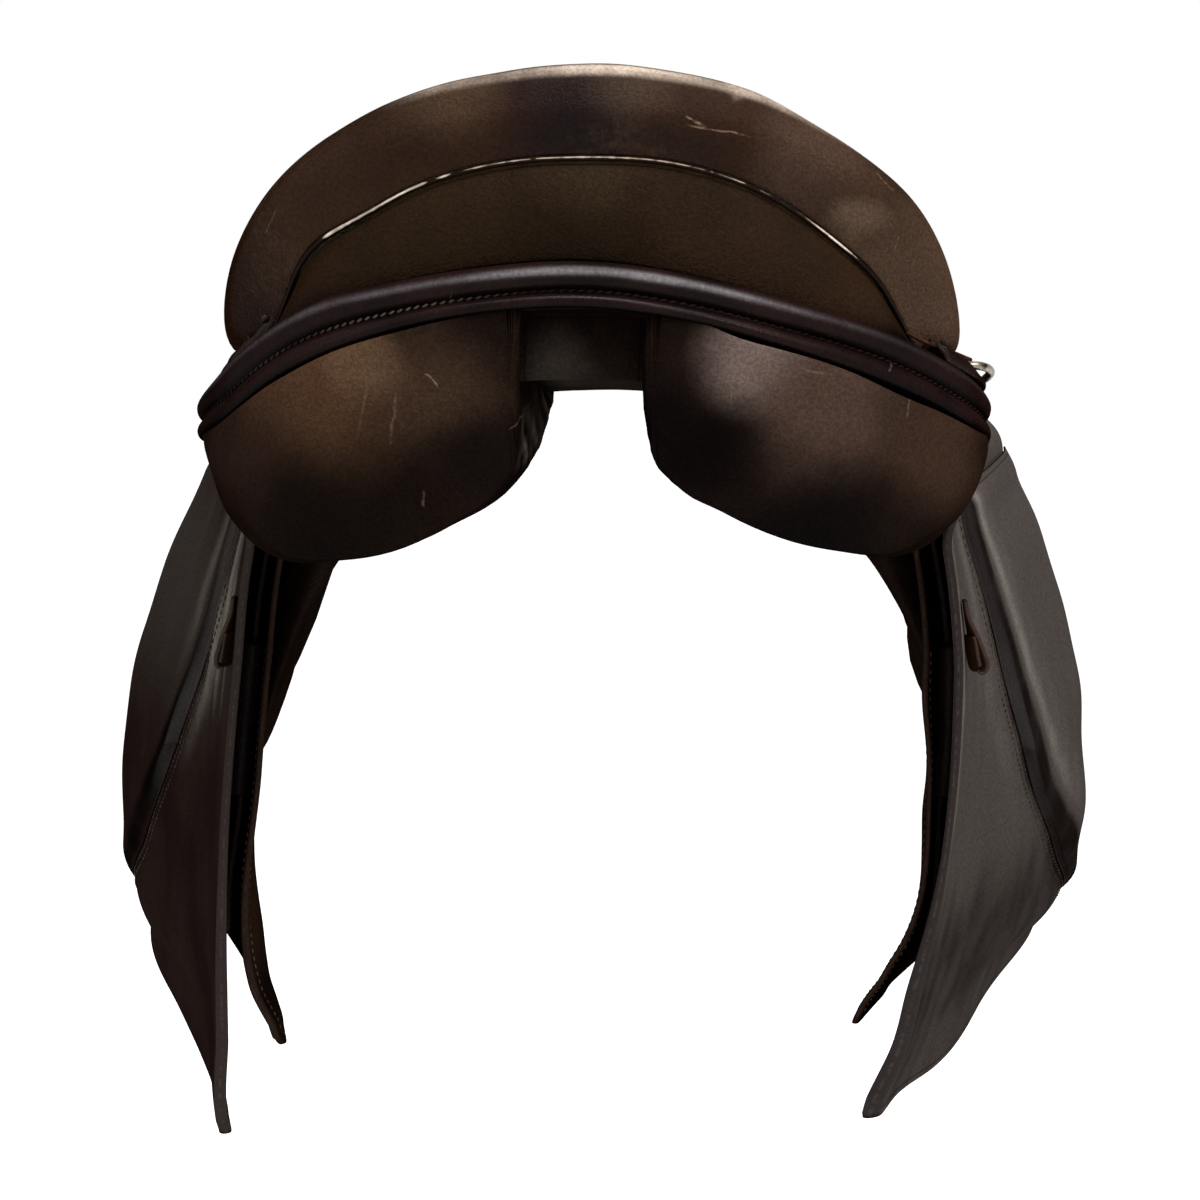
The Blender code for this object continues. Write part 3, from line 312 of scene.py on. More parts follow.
def slab(width, height, count=8):
    """A strap's cross-section: a superellipse, the flatter along x the wider it is for its height."""
    a = np.linspace(0, 2 * math.pi, 4 * count, endpoint=False)
    power = 2 / (2.6 * max(1.0, width / height) ** 0.8)
    return np.stack([
        width / 2 * np.sign(np.cos(a)) * np.abs(np.cos(a)) ** power,
        height / 2 * np.sign(np.sin(a)) * np.abs(np.sin(a)) ** 0.75,
    ], axis=1)


def stitches(name, rows, look, length=3.6, pitch=5.2, radius=0.55, slant=0.22):
    """Rows of threads, each an ellipsoid set every pitch along a line and turned a little from it.

    A row is a line of points and the surface's normals there.
    """
    turn = np.linspace(0, math.pi, 7)[:, None]
    around = (np.arange(6) * math.pi / 3)[None]
    x = (-np.cos(turn) + 0 * around).ravel()
    y, z = (np.sin(turn) * np.cos(around)).ravel(), (np.sin(turn) * np.sin(around)).ravel()
    face = grid_faces(np.arange(42).reshape(7, 6), wrap=True)
    points, faces, made = [], [], 0
    for line, out in rows:
        run = np.concatenate([[0.0], np.cumsum(np.linalg.norm(np.diff(line, axis=0), axis=1))])
        at = np.arange(pitch / 2, run[-1], pitch)
        spot = np.stack([np.interp(at, run, c) for c in line.T], axis=1)
        up = unit(np.stack([np.interp(at, run, c) for c in out.T], axis=1))
        ahead = unit(np.stack([np.interp(at, run, c) for c in np.gradient(line, axis=0).T], axis=1))
        aside = unit(np.cross(up, ahead))
        ahead = unit(ahead + slant * aside)
        aside = unit(np.cross(up, ahead))
        body = spot[:, None] + 0.15 * up[:, None] + x[:, None] * length / 2 * ahead[:, None]
        body = body + radius * (y[:, None] * aside[:, None] + 0.8 * z[:, None] * up[:, None])
        points.append(body.reshape(-1, 3))
        faces.append((face[None] + (made + 42 * np.arange(len(at)))[:, None, None]).reshape(-1, 4))
        made += 42 * len(at)
    return put(name, np.concatenate(points), faces, look)


# Materials


def rgb(r, g, b):
    """A screen colour of 0 to 255 as linear light."""
    c = np.array([r, g, b]) / 255
    return (*np.where(c > 0.04045, ((c + 0.055) / 1.055) ** 2.4, c / 12.92), 1.0)


def feed(tree, node, feeds):
    """Links or sets the node's inputs."""
    for key, value in dict(feeds).items():
        if isinstance(value, bpy.types.NodeSocket):
            tree.links.new(value, node.inputs[key])
        else:
            node.inputs[key].default_value = value


def add(tree, kind, feeds=(), **settings):
    """A node with its settings and feeds."""
    node = tree.nodes.new("ShaderNode" + kind)
    for key, value in settings.items():
        setattr(node, key, value)
    feed(tree, node, feeds)
    return node


def maths(tree, how, *values):
    return add(tree, "Math", dict(enumerate(values)), operation=how).outputs[0]


def times(tree, a, b):
    return maths(tree, "MULTIPLY", a, b)


def scaled_sum(tree, a, share, b):
    """a times share, plus b."""
    return maths(tree, "MULTIPLY_ADD", a, share, b)


def vectors(tree, how, *values):
    node = add(tree, "VectorMath", dict(enumerate(values)), operation=how)
    return node.outputs["Value" if how in ("DISTANCE", "DOT_PRODUCT") else 0]


def blend(tree, share, a, b, how="MIX"):
    return add(tree, "Mix", {0: share, 6: a, 7: b}, data_type="RGBA", blend_type=how).outputs[2]


def ranged(tree, value, low, high, to_low=0.0, to_high=1.0):
    feeds = {"Value": value, "From Min": low, "From Max": high, "To Min": to_low, "To Max": to_high}
    return add(tree, "MapRange", feeds, interpolation_type="SMOOTHSTEP").outputs[0]


def mark(tree, name):
    return add(tree, "Attribute", attribute_name=name).outputs["Fac"]


def noise(tree, where, scale, detail=2.0, rough=0.5, out="Fac"):
    feeds = {"Vector": where, "Scale": scale, "Detail": detail, "Roughness": rough}
    return add(tree, "TexNoise", feeds).outputs[out]


def relief(tree, height, strength, distance):
    return add(tree, "Bump", {"Height": height, "Strength": strength, "Distance": distance}).outputs[0]


def group(name, inputs, outputs, build):
    """A shader node group: build gets the tree and the input sockets and returns the output sockets.

    An input given as None is a vector, any other a number with that value unless it is fed.
    """
    tree = bpy.data.node_groups.new(name, "ShaderNodeTree")
    for key, value in inputs.items():
        kind = "NodeSocketVector" if value is None else "NodeSocketFloat"
        socket = tree.interface.new_socket(key, in_out="INPUT", socket_type=kind)
        if value is not None:
            socket.default_value = value
    for key in outputs:
        tree.interface.new_socket(key, in_out="OUTPUT", socket_type="NodeSocketFloat")
    start, end = tree.nodes.new("NodeGroupInput"), tree.nodes.new("NodeGroupOutput")
    feed(tree, end, zip(outputs, build(tree, start.outputs)))
    return tree


def grain_nodes(tree, ins):
    """Leather's height: rounded pebbles, fine pores between them and long soft creases."""
    where, scale = ins["Vector"], ins["Scale"]
    cells = add(tree, "TexVoronoi", {"Vector": where, "Scale": scale}, feature="SMOOTH_F1").outputs[0]
    fine = noise(tree, where, times(tree, scale, 2.3), 3.0)
    long_way = add(tree, "Mapping", {"Vector": where, "Scale": (1.0, 1.0, 0.35)}).outputs[0]
    soft = noise(tree, long_way, times(tree, scale, 0.07), 3.0)
    return [scaled_sum(tree, soft, 0.6, scaled_sum(tree, fine, 0.35, times(tree, cells, -0.55)))]


def wear_nodes(tree, ins):
    """Rubbed: where a broad and a fine noise are both high. Tone: fine specks, dark and pale."""
    where, low = ins["Vector"], ins["Low"]
    broad, fine = noise(tree, where, 9.0, 3.0), noise(tree, where, 279.0, 5.0, 0.75)
    rubbed = ranged(tree, scaled_sum(tree, fine, 0.35, broad), low, maths(tree, "ADD", low, 0.3))
    return [rubbed, ranged(tree, noise(tree, where, 620.0, 3.0, 0.7), 0.30, 0.70, 0.74, 1.22)]


WANDER = 0.004  # metres that a scratch strays from its line
DRIFT = 0.028  # metres that a soft patch's outline strays


def line_nodes(tree, ins):
    """A scratch: high within Width of a wavering line through Centre, half the Length each way."""
    where, width, length = ins["Vector"], ins["Width"], ins["Length"]
    moved = vectors(tree, "MULTIPLY_ADD", noise(tree, where, 90.0, 3.0, out="Color"), (WANDER,) * 3, where)
    here = vectors(tree, "SUBTRACT", moved, ins["Centre"])
    along = maths(tree, "ABSOLUTE", vectors(tree, "DOT_PRODUCT", here, ins["Along"]))
    aside = maths(tree, "ABSOLUTE", vectors(tree, "DOT_PRODUCT", here, ins["Across"]))
    thin = ranged(tree, aside, width, times(tree, width, 0.3))
    short = ranged(tree, along, times(tree, length, 0.5), times(tree, length, 0.3))
    rough = ranged(tree, noise(tree, where, 350.0, 3.0), 0.38, 0.55, 0.25, 1.0)
    return [times(tree, times(tree, thin, short), rough)]


GRAIN = group("leather_grain", {"Vector": None, "Scale": 900.0}, ["Height"], grain_nodes)
WEAR = group("leather_wear", {"Vector": None, "Low": 0.7}, ["Rubbed", "Tone"], wear_nodes)
SCRATCH = {"Vector": None, "Centre": None, "Along": None, "Across": None, "Length": 0.02, "Width": 0.0006}
LINE = group("scratch_line", SCRATCH, ["Mask"], line_nodes)


def begin(name):
    made = bpy.data.materials.new(name)
    made.use_nodes = True
    tree = made.node_tree
    return made, tree, tree.nodes["Principled BSDF"], add(tree, "TexCoord").outputs["Object"]


def spotted(tree, where, colour, spots):
    """Soft patches seen from behind, for the hide's tone and for painted light and shade, each a centre as (x,
    z), a radius, a colour and a share.
    """
    drift = vectors(tree, "MULTIPLY_ADD", noise(tree, where, 22.0, 4.0, out="Color"), (DRIFT,) * 3, where)
    level = vectors(tree, "MULTIPLY", drift, (1.0, 0.0, 1.0))
    for (x, z), radius, tone, share in spots:
        far = vectors(tree, "DISTANCE", level, (x * MM + DRIFT / 2, 0.0, z * MM + DRIFT / 2))
        patch_share = ranged(tree, far, radius * MM, radius * MM * 0.15, 0.0, share)
        colour = blend(tree, patch_share, colour, rgb(*tone))
    return colour


def scratched(tree, where, colour, pale, lines):
    """Scratches, each a middle as (x, y, z), a direction as (x, z), a length, a width and a share."""
    for middle, (x, z), length, width, share in lines:
        size = math.hypot(x, z)
        line = add(tree, "Group", {
            "Vector": where, "Centre": [c * MM + WANDER / 2 for c in middle],
            "Along": (x / size, 0.0, z / size), "Across": (-z / size, 0.0, x / size),
            "Length": length * MM, "Width": width * MM,
        }, node_tree=LINE)
        colour = blend(tree, times(tree, line.outputs[0], share), colour, rgb(*pale))
    return colour


def cut_edge(tree, where, colour, dark, pale, cut):
    """A pressed crease 3.4 mm from the rim, and the rim in the cut's colour, frayed along its middle."""
    border, ply = mark(tree, "border"), mark(tree, "ply")
    crease = times(tree, ranged(tree, border, 2.6, 3.2), ranged(tree, border, 4.2, 3.6))
    colour = blend(tree, times(tree, crease, 0.5), colour, rgb(*[c * 0.4 for c in dark]))
    inside = times(tree, ranged(tree, ply, 0.08, 0.2), ranged(tree, ply, 0.92, 0.8))
    colour = blend(tree, inside, colour, rgb(*cut))
    seam = times(tree, ranged(tree, ply, 0.38, 0.48), ranged(tree, ply, 0.62, 0.52))
    frayed = times(tree, seam, ranged(tree, noise(tree, where, 300.0, 3.0), 0.4, 0.65, 0.0, 0.22))
    return blend(tree, frayed, colour, rgb(*pale))


def leather(name, dark, base, pale, gloss=0.42, grain=900.0, bump=0.6, mottle=11.0, low=0.78, rub=0.5,
            level=0.06, spots=(), lines=(), cut=None, sheen=None, painted_reflection=None):
    """Dyed hide: two tones mottled together with dark pores, pale where rubbed, scratched or near a cut edge.

    One pair of colours is a painted highlight and painted shade, used where the mark of painted light is above
    and below zero.
    The other is a painted reflection: the paler cast of polished hide seen edge-on, where level, the strength
    of its reflections, fades out.
    """
    made, tree, shader, where = begin(name)
    mottled = ranged(tree, noise(tree, where, mottle, 4.0), 0.34, 0.66)
    colour = blend(tree, mottled, rgb(*dark), rgb(*base))
    if spots:
        colour = spotted(tree, where, colour, spots)
    edge_on = add(tree, "LayerWeight", {"Blend": 0.5}).outputs["Facing"]
    # Painted reflection: a paler cast mixed into the colour where the hide is seen edge-on.
    if painted_reflection:
        colour = blend(tree, ranged(tree, edge_on, 0.30, 0.78, 0.0, 0.9), colour, rgb(*painted_reflection))
    # Painted highlight above zero and painted shade below it, by the mark of painted light.
    if sheen:
        cloudy = ranged(tree, noise(tree, where, 34.0, 4.0), 0.3, 0.65, 0.7, 1.0)
        lift = times(tree, mark(tree, "sheen"), cloudy)
        for way, tone in zip((1.0, -1.0), sheen):
            colour = blend(tree, ranged(tree, lift, 0.0, way), colour, rgb(*tone))
    worn = add(tree, "Group", {"Vector": where, "Low": low}, node_tree=WEAR)
    rubbed = times(tree, worn.outputs["Rubbed"], rub)
    colour = blend(tree, rubbed, colour, rgb(*pale))
    colour = scratched(tree, where, colour, pale, lines)
    if cut:
        colour = cut_edge(tree, where, colour, dark, pale, cut)
    tone = add(tree, "CombineColor", dict.fromkeys(range(3), worn.outputs["Tone"])).outputs[0]
    rough = scaled_sum(tree, maths(tree, "SUBTRACT", noise(tree, where, 60.0, 4.0), 0.5), 0.3, gloss)
    hide = add(tree, "Group", {"Vector": where, "Scale": grain}, node_tree=GRAIN)
    shader.inputs["Specular IOR Level"].default_value = level
    feed(tree, shader, {
        "Base Color": blend(tree, 1.0, colour, tone, "MULTIPLY"),
        "Roughness": scaled_sum(tree, rubbed, 0.12, rough),
        "Normal": relief(tree, hide.outputs["Height"], bump, 0.0008),
        "Specular IOR Level": ranged(tree, edge_on, 0.10, 0.56, level, 0.0) if level else 0.0,
    })
    return made


def plain(name, tones, rough, scale, metal=0.0, bump=0.1, stretch=(1.0, 1.0, 1.0), level=0.5):
    """Two tones mixed by one stretched noise, which also drives roughness and bump."""
    made, tree, shader, where = begin(name)
    way = add(tree, "Mapping", {"Vector": where, "Scale": stretch}).outputs[0]
    pattern = noise(tree, way, scale, 5.0, 0.6)
    feed(tree, shader, {
        "Base Color": blend(tree, ranged(tree, pattern, 0.32, 0.68), rgb(*tones[0]), rgb(*tones[1])),
        "Roughness": scaled_sum(tree, pattern, 0.25, rough - 0.12),
        "Normal": relief(tree, pattern, bump, 0.0005), "Metallic": metal, "Specular IOR Level": level,
    })
    return made


def woven(name, dark, pale, thread=700.0):
    """Plain weave: the product of two crossed sine waves, one thread to a wave."""
    made, tree, shader, where = begin(name)
    parts = add(tree, "SeparateXYZ", {0: where}).outputs
    lie = maths(tree, "ADD", parts["X"], parts["Z"])
    a, b = (maths(tree, "SINE", times(tree, run, thread * math.pi)) for run in (parts["Y"], lie))
    weave = scaled_sum(tree, times(tree, a, b), 0.5, 0.5)
    soiled = ranged(tree, noise(tree, where, 30.0, 4.0), 0.35, 0.7)
    colour = blend(tree, weave, rgb(*dark), rgb(*pale))
    feed(tree, shader, {
        "Base Color": blend(tree, times(tree, soiled, 0.5), colour, rgb(*dark)), "Roughness": 0.9,
        "Normal": relief(tree, weave, 0.5, 0.0005),
    })
    return made


def worn_piping(name):
    """Cord in dark leather, worn through where the mark worn is high, to cream where the mark cream is."""
    made, tree, shader, where = begin(name)
    ragged = scaled_sum(tree, noise(tree, where, 240.0, 4.0), 0.55, mark(tree, "worn"))
    bare = ranged(tree, ragged, 0.74, 0.86)
    mottled = ranged(tree, noise(tree, where, 120.0, 3.0), 0.35, 0.65)
    fresh = blend(tree, mottled, rgb(165, 152, 138), rgb(232, 216, 200))
    dull = blend(tree, mottled, rgb(96, 80, 68), rgb(158, 142, 130))
    feed(tree, shader, {
        "Base Color": blend(tree, bare, rgb(24, 14, 9), blend(tree, mark(tree, "cream"), dull, fresh)),
        "Roughness": ranged(tree, bare, 0.0, 1.0, 0.42, 0.75), "Normal": relief(tree, ragged, 0.5, 0.0006),
        "Specular IOR Level": 0.04,
    })
    return made


# The seat's patches are partly the hide's own tone and scuffs, partly painted light: lighter on the right
# where the light falls, darker on the left, with painted highlights on the rim. The first colour of the pair
# paints the highlight along the crest.
SEAT = leather(
    "seat_leather", (28, 16, 10), (46, 29, 19), (118, 96, 78), gloss=0.38, mottle=20.0, low=0.80, rub=0.34,
    level=0.035, bump=0.9, sheen=((200, 182, 166), (14, 8, 8)),
    spots=[
        ((-6, 188), 44, (26, 18, 18), 0.92), ((-112, 158), 64, (54, 36, 24), 0.75),
        ((-60, 208), 34, (74, 56, 42), 0.6), ((160, 112), 92, (78, 60, 47), 0.85),
        ((98, 180), 36, (74, 56, 46), 0.7), ((-158, 112), 44, (36, 20, 11), 0.85),
        ((64, 207), 8, (150, 132, 118), 0.75), ((73, 203), 6, (120, 102, 90), 0.5),
        ((118, 150), 13, (112, 92, 76), 0.45), ((40, 180), 30, (36, 25, 22), 0.6),
        ((-140, 132), 22, (50, 32, 21), 0.6), ((156, 98), 26, (86, 65, 53), 0.75),
        ((20, 212), 26, (70, 56, 46), 0.5),
    ],
    lines=[
        ((56, -215, 190), (1, -0.22), 30, 0.55, 0.85), ((47, -215, 194), (1, -0.6), 12, 0.7, 0.9),
        ((152, -150, 145), (0.2, 1), 16, 0.5, 0.45), ((-139, -170, 150), (0.5, 1), 14, 0.5, 0.4),
        ((20, -215, 175), (1, 0.3), 9, 0.4, 0.4), ((128, -170, 168), (1, -0.9), 14, 0.5, 0.5),
        ((133, -170, 141), (0.3, 1), 9, 0.4, 0.5), ((108, -186, 128), (0.4, 1), 8, 0.5, 0.7),
    ],
)
FACING = leather(
    "facing_leather", (28, 19, 11), (41, 28, 18), (92, 78, 62), gloss=0.46, mottle=20.0, low=0.95, rub=0.3,
    bump=0.9, level=0.02,
    lines=[((-46, -218, 128), (0.2, 1), 5, 0.4, 0.6), ((-80, -210, 126), (1, 1), 7, 0.3, 0.4)],
    spots=[
        ((-60, 135), 55, (38, 27, 16), 0.6), ((70, 128), 55, (44, 30, 21), 0.6),
        ((0, 172), 30, (50, 38, 26), 0.5), ((110, 112), 26, (50, 32, 20), 0.4),
        ((-120, 118), 26, (38, 22, 12), 0.6),
    ],
)
# The pair of colours paints a highlight along the upper roll and shade in the groove.
WELT_LEATHER = leather(
    "welt_leather", (18, 10, 10), (32, 19, 18), (88, 74, 70), gloss=0.24, mottle=26.0, low=0.95, rub=0.25,
    bump=0.25, level=0.035, sheen=((108, 103, 106), (7, 4, 4)),
    lines=[((-57, -224, 120), (0.3, 1), 6, 0.4, 0.5), ((131, -190, 88), (0.3, 1), 4, 0.6, 0.6)],
)
CORD_LEATHER = leather(
    "cord_leather", (16, 9, 8), (30, 18, 16), (88, 74, 70), gloss=0.34, mottle=26.0, low=0.9, rub=0.3,
    bump=0.3, level=0.10
)
# Patches of painted light and shade: pale highlights on the upper panels, near black low down and towards the
# gullet. The pair of colours paints light and shade on the wrinkles of the gullet's wall.
PANEL = leather(
    "panel_leather", (18, 11, 8), (30, 20, 15), (112, 92, 76), gloss=0.40, mottle=18.0, low=0.84, rub=0.34,
    bump=0.7, level=0.01, sheen=((112, 102, 92), (8, 5, 4)),
    spots=[
        ((-118, 78), 56, (78, 55, 39), 0.85), ((-66, 80), 40, (62, 46, 35), 0.75),
        ((-44, 48), 38, (16, 10, 9), 0.9), ((-118, 12), 58, (15, 9, 7), 0.88),
        ((-158, 44), 28, (46, 32, 26), 0.7), ((72, 96), 32, (112, 96, 90), 0.75),
        ((106, 70), 48, (76, 59, 51), 0.75), ((152, 52), 38, (58, 42, 33), 0.8),
        ((46, 56), 42, (6, 4, 4), 0.95), ((96, 12), 58, (8, 6, 6), 0.92), ((30, 72), 22, (8, 5, 5), 0.9),
        ((-96, 92), 26, (104, 80, 60), 0.5),
    ],
    lines=[
        ((-66, -222, 85), (0.7, -0.7), 9, 0.5, 0.9), ((-83, -218, 68), (0.1, 1), 26, 1.1, 0.35),
        ((-96, -215, 72), (0.2, 1), 30, 0.8, 0.22), ((98, -210, 88), (1, -0.2), 16, 0.8, 0.4),
        ((139, -185, 72), (0.2, 1), 14, 0.6, 0.45), ((62, -222, 78), (0.15, 1), 10, 0.5, 0.35),
        ((-30, -222, 66), (1, 0.8), 7, 0.4, 0.4), ((-70, -220, 34), (0.1, 1), 8, 1.0, 0.3),
    ],
)
# The left leather is darker than the right as painted shade on the side away from the light, its pale grey
# patch up high is painted sheen, and the right's grey cast seen edge-on is a painted reflection. The pairs of
# colours paint light and shade on the folds and beside the pad's edge.
FLAPS = {
    "left": leather(
        "flap_leather_left", (31, 21, 19), (42, 31, 28), (92, 78, 66), gloss=0.42, mottle=14.0, low=0.95,
        rub=0.3, bump=0.4, level=0.14, cut=(30, 19, 15), sheen=((112, 106, 98), (9, 6, 6)),
        spots=[((-240, -50), 95, (58, 52, 48), 0.85)],
    ),
    "right": leather(
        "flap_leather_right", (30, 20, 17), (44, 32, 28), (104, 92, 84), gloss=0.38, mottle=14.0, low=0.95,
        rub=0.3, bump=0.4, level=0.16, cut=(28, 18, 15), sheen=((116, 111, 106), (24, 18, 17)),
        painted_reflection=(77, 71, 68),
    ),
}
SKIRT_LEATHER = leather(
    "skirt_leather", (26, 17, 14), (40, 28, 22), (100, 84, 70), gloss=0.40, mottle=14.0, low=0.9, rub=0.35,
    bump=0.45, level=0.12, cut=(26, 16, 12),
)
SWEAT_LEATHER = leather(
    "sweat_leather", (18, 10, 8), (38, 25, 18), (80, 60, 46), gloss=0.6, mottle=18.0, low=0.88, rub=0.35,
    level=0.05, cut=(34, 21, 14),
)
# Darker than the other leather, partly as painted shade where the straps hang in shadow under the flaps.
STRAP_LEATHER = leather(
    "strap_leather", (14, 9, 7), (30, 19, 14), (84, 62, 46), gloss=0.5, mottle=25.0, low=0.86, rub=0.35,
    bump=0.5, level=0.08, cut=(26, 17, 12),
)
KEEPER_LEATHER = leather(
    "keeper_leather", (34, 22, 16), (56, 38, 28), (110, 92, 80), gloss=0.4, mottle=30.0, low=0.84, rub=0.4,
    bump=0.5, level=0.15,
)
TORN_LEATHER = leather(
    "torn_leather", (44, 26, 18), (66, 40, 28), (110, 84, 68), gloss=0.7, mottle=90.0, low=0.8, rub=0.6,
    level=0.03,
)
LINING = leather(
    "gullet_leather", (12, 7, 6), (22, 14, 11), (62, 54, 48), gloss=0.8, mottle=22.0, low=0.86, rub=0.4,
    level=0.0, cut=(30, 24, 20),
    spots=[((-14, 84), 26, (58, 52, 46), 0.75), ((10, 70), 30, (44, 38, 34), 0.6)],
)
WELT_THREAD = leather(
    "welt_thread", (28, 18, 17), (44, 31, 29), (110, 98, 88), gloss=0.6, grain=1500.0, bump=0.3, level=0.0,
    spots=[((-80, 112), 56, (112, 98, 84), 0.8)],
)
TREE_COVER = leather(
    "tree_cover_leather", (15, 10, 8), (27, 19, 15), (70, 58, 50), gloss=0.6, mottle=30.0, low=0.9, rub=0.3,
    bump=0.4, level=0.0,
)
PIPING_LEATHER = worn_piping("piping_leather")
THREAD = plain("waxed_thread", ((34, 24, 20), (88, 72, 62)), 0.6, 40.0, bump=0.5, level=0.05)
DARK_THREAD = plain("dark_thread", ((30, 22, 20), (76, 64, 58)), 0.6, 90.0, bump=0.5, level=0.02)
NICKEL = plain("nickel", ((150, 144, 134), (214, 208, 198)), 0.30, 220.0, metal=1.0, bump=0.05)
OLD_NICKEL = plain("tarnished_nickel", ((34, 28, 22), (158, 150, 138)), 0.30, 240.0, metal=1.0, bump=0.05)
STEEL = plain("blued_steel", ((44, 46, 50), (78, 80, 84)), 0.40, 120.0, metal=1.0, bump=0.08)
WOOD = plain("laminated_wood", ((120, 84, 50), (170, 128, 84)), 0.55, 45.0, bump=0.2, stretch=(1, 0.12, 1))
FELT = plain("felt", ((150, 142, 122), (190, 182, 160)), 0.9, 420.0, bump=0.6, level=0.2)
WEBBING = woven("jute_webbing", (120, 100, 74), (176, 154, 118))

# Layers and lines shared by the pieces, as (y, z) unless they say otherwise

SEAM_FRONT, SEAM_REAR = np.array([66.0, 150.0, 118.0]), np.array([146.0, -150.0, 96.0])
FLAP, SKIRT, STRAP, SWEAT, GUARD, GUARD_BACK = 4.5, 3.6, 3.0, 3.0, 2.2, 1.2
SEAT_SKIN, FACING_SKIN, LINING_SKIN, WEB = 2.5, 2.5, 2.4, 2.4
FLAP_TOP = [(-71, 50), (-30, 55), (40, 58), (120, 58), (178, 56)]
FLAP_REAR = [
    (-71, 50), (-72, -14), (-71, -60), (-68, -110), (-64, -165), (-58, -215), (-51, -262), (-43, -300),
]
FLAP_LOW = [
    (-43, -300), (-36, -308), (-10, -306), (35, -301), (85, -293), (145, -280), (195, -263), (218, -252),
]
FLAP_FRONT = [
    (178, 56), (190, 0), (200, -50), (212, -100), (226, -150), (233, -196), (230, -230), (218, -252),
]
PAD_TOP = [(0, 8), (40, 8), (90, 9), (130, 10), (178, 10)]
PAD_REAR = [(0, 8), (6, -30), (34, -88), (70, -134)]
PAD_LOW = [(70, -134), (106, -171), (154, -212), (214, -249)]
PAD_FRONT = [(178, 10), (189, -40), (204, -100), (218, -150), (226, -196), (224, -230), (214, -249)]
SWEAT_TOP = [(-56, 40), (0, 40), (60, 38), (120, 36), (178, 32)]
SWEAT_REAR = [(-57, -60), (-57, -130), (-54, -190), (-46, -236), (-36, -267)]
SWEAT_LOW = [(-36, -267), (-25, -274), (6, -264), (55, -244), (105, -222), (150, -200)]
SWEAT_FRONT = [(178, 32), (188, -20), (198, -70), (200, -120), (184, -165), (150, -200)]
ROLL_TOP = [(132, 20), (150, 21), (172, 20)]
ROLL_REAR = [(132, 20), (140, -50), (146, -100), (140, -150)]
ROLL_LOW = [(140, -150), (160, -153), (180, -146)]
ROLL_FRONT = [(172, 20), (184, -40), (192, -90), (180, -146)]
STRAP_Y, STRAP_TOP, STRAP_TIP, STRAP_WIDTH = (-24.0, 8.0, 40.0), -2.0, -212.0, 25.0
POINT = 14  # the strap's pointed end
GUARD_TOP, GUARD_LOW = -61.0, -138.0
GUARD_FACE = -FLAP - 0.9  # the guard's outer face, as a depth on the flank
SKIRT_FACE = SKIRT + 1.3  # the skirt's outer face
SLOT_Y, SLOT_Z = -61.5, -36  # where the keeper leaves the flap
KEEPER_SIZE = (10.5, 2.3)  # width and thickness
PIPING_RADIUS, CORD_RADIUS, WIRE_RADIUS = 1.15, 2.2, 2.0
HOLES, HOLE_RADIUS = range(-196, -90, 21), 2.1
STITCH = (3.0, 4.6, 0.5)  # length, pitch and radius of the threads of flap and skirt
FLAP_GRID, PAD_GRID, SWEAT_GRID, ROLL_GRID = (170, 120), (120, 100), (130, 70), (70, 36)

REAR_Z = [-306, -281, -225, -165, -110, -60, -15, 20, 40, 62]
REAR_X = [152, 160, 169, 174, 175, 173, 168, 160, 147, 125]
FRONT_Z = [-262, -245, -200, -150, -95, -50, -11, 15, 40, 62]
FRONT_X = [247, 258, 268, 264, 256, 243, 220, 202, 174, 142]
SPREAD_Y = [-80, -35, 5, 45, 105, 185, 240]
SPREAD = [0.0, 0.10, 0.24, 0.42, 0.68, 1.0, 1.05]


def seam(y):
    """The straight seam between seat and skirt at y, right side."""
    return SEAM_FRONT + ((150.0 - np.asarray(y, float)) / 300.0)[..., None] * (SEAM_REAR - SEAM_FRONT)


def flank_x(side, y, z):
    """The flank's distance from the middle: a rear and a front profile over z, blended over y.

    The hip is added high at the rear, and hang lets the lower end swing to the saddle's left.
    """
    rear, front = smooth_of(z, REAR_Z, REAR_X), smooth_of(z, FRONT_Z, FRONT_X)
    spread = smooth_of(y, SPREAD_Y, SPREAD)
    hip = (1 - step(y, -75, -5)) * 39 * step(z, -10, 60)
    hang = -side * (24 - 15 * spread) * np.clip((-60 - z) / 240, 0, 1) ** 1.3
    return rear + spread * (front - rear) + hip + hang


def flank(side, y, z, depth=0.0):
    """The flank's point at y and z, moved out along its normal by depth."""
    y, z = np.broadcast_arrays(np.asarray(y, float), np.asarray(z, float))
    x = flank_x(side, y, z)
    slope_y = (flank_x(side, y + 1, z) - flank_x(side, y - 1, z)) / 2
    slope_z = (flank_x(side, y, z + 1) - flank_x(side, y, z - 1)) / 2
    size = np.sqrt(1 + slope_y**2 + slope_z**2)
    moved = np.stack([x + depth / size, y - depth * slope_y / size, z - depth * slope_z / size], axis=-1)
    return moved * (side, 1, 1)


DEPTH_Z = [-280, -262, -246, -238, -225, -210, -192, -177, -162, -145, -127, 40]
SWEAT_DEPTH = {
    -1.0: [-30, -27, -24, -22.4, -21, -20, -18.4, -17.2, -16.5, -16.1, -16, -16],
    1.0: [-32, -29, -24.5, -21.5, -17.7, -13.4, -11.0, -11.0, -12.2, -14.4, -15.6, -16],
}
ROOM_Z, ROOM = [-192, -177, -162, -145, -127, -110], [0, 0.9, 1.9, 1.7, 0.4, 0]


def strap_depth(z):
    """The straps' outer face: deeper where the guard passes over them."""
    return -5.9 - 3.7 * step(z, -190, -142)


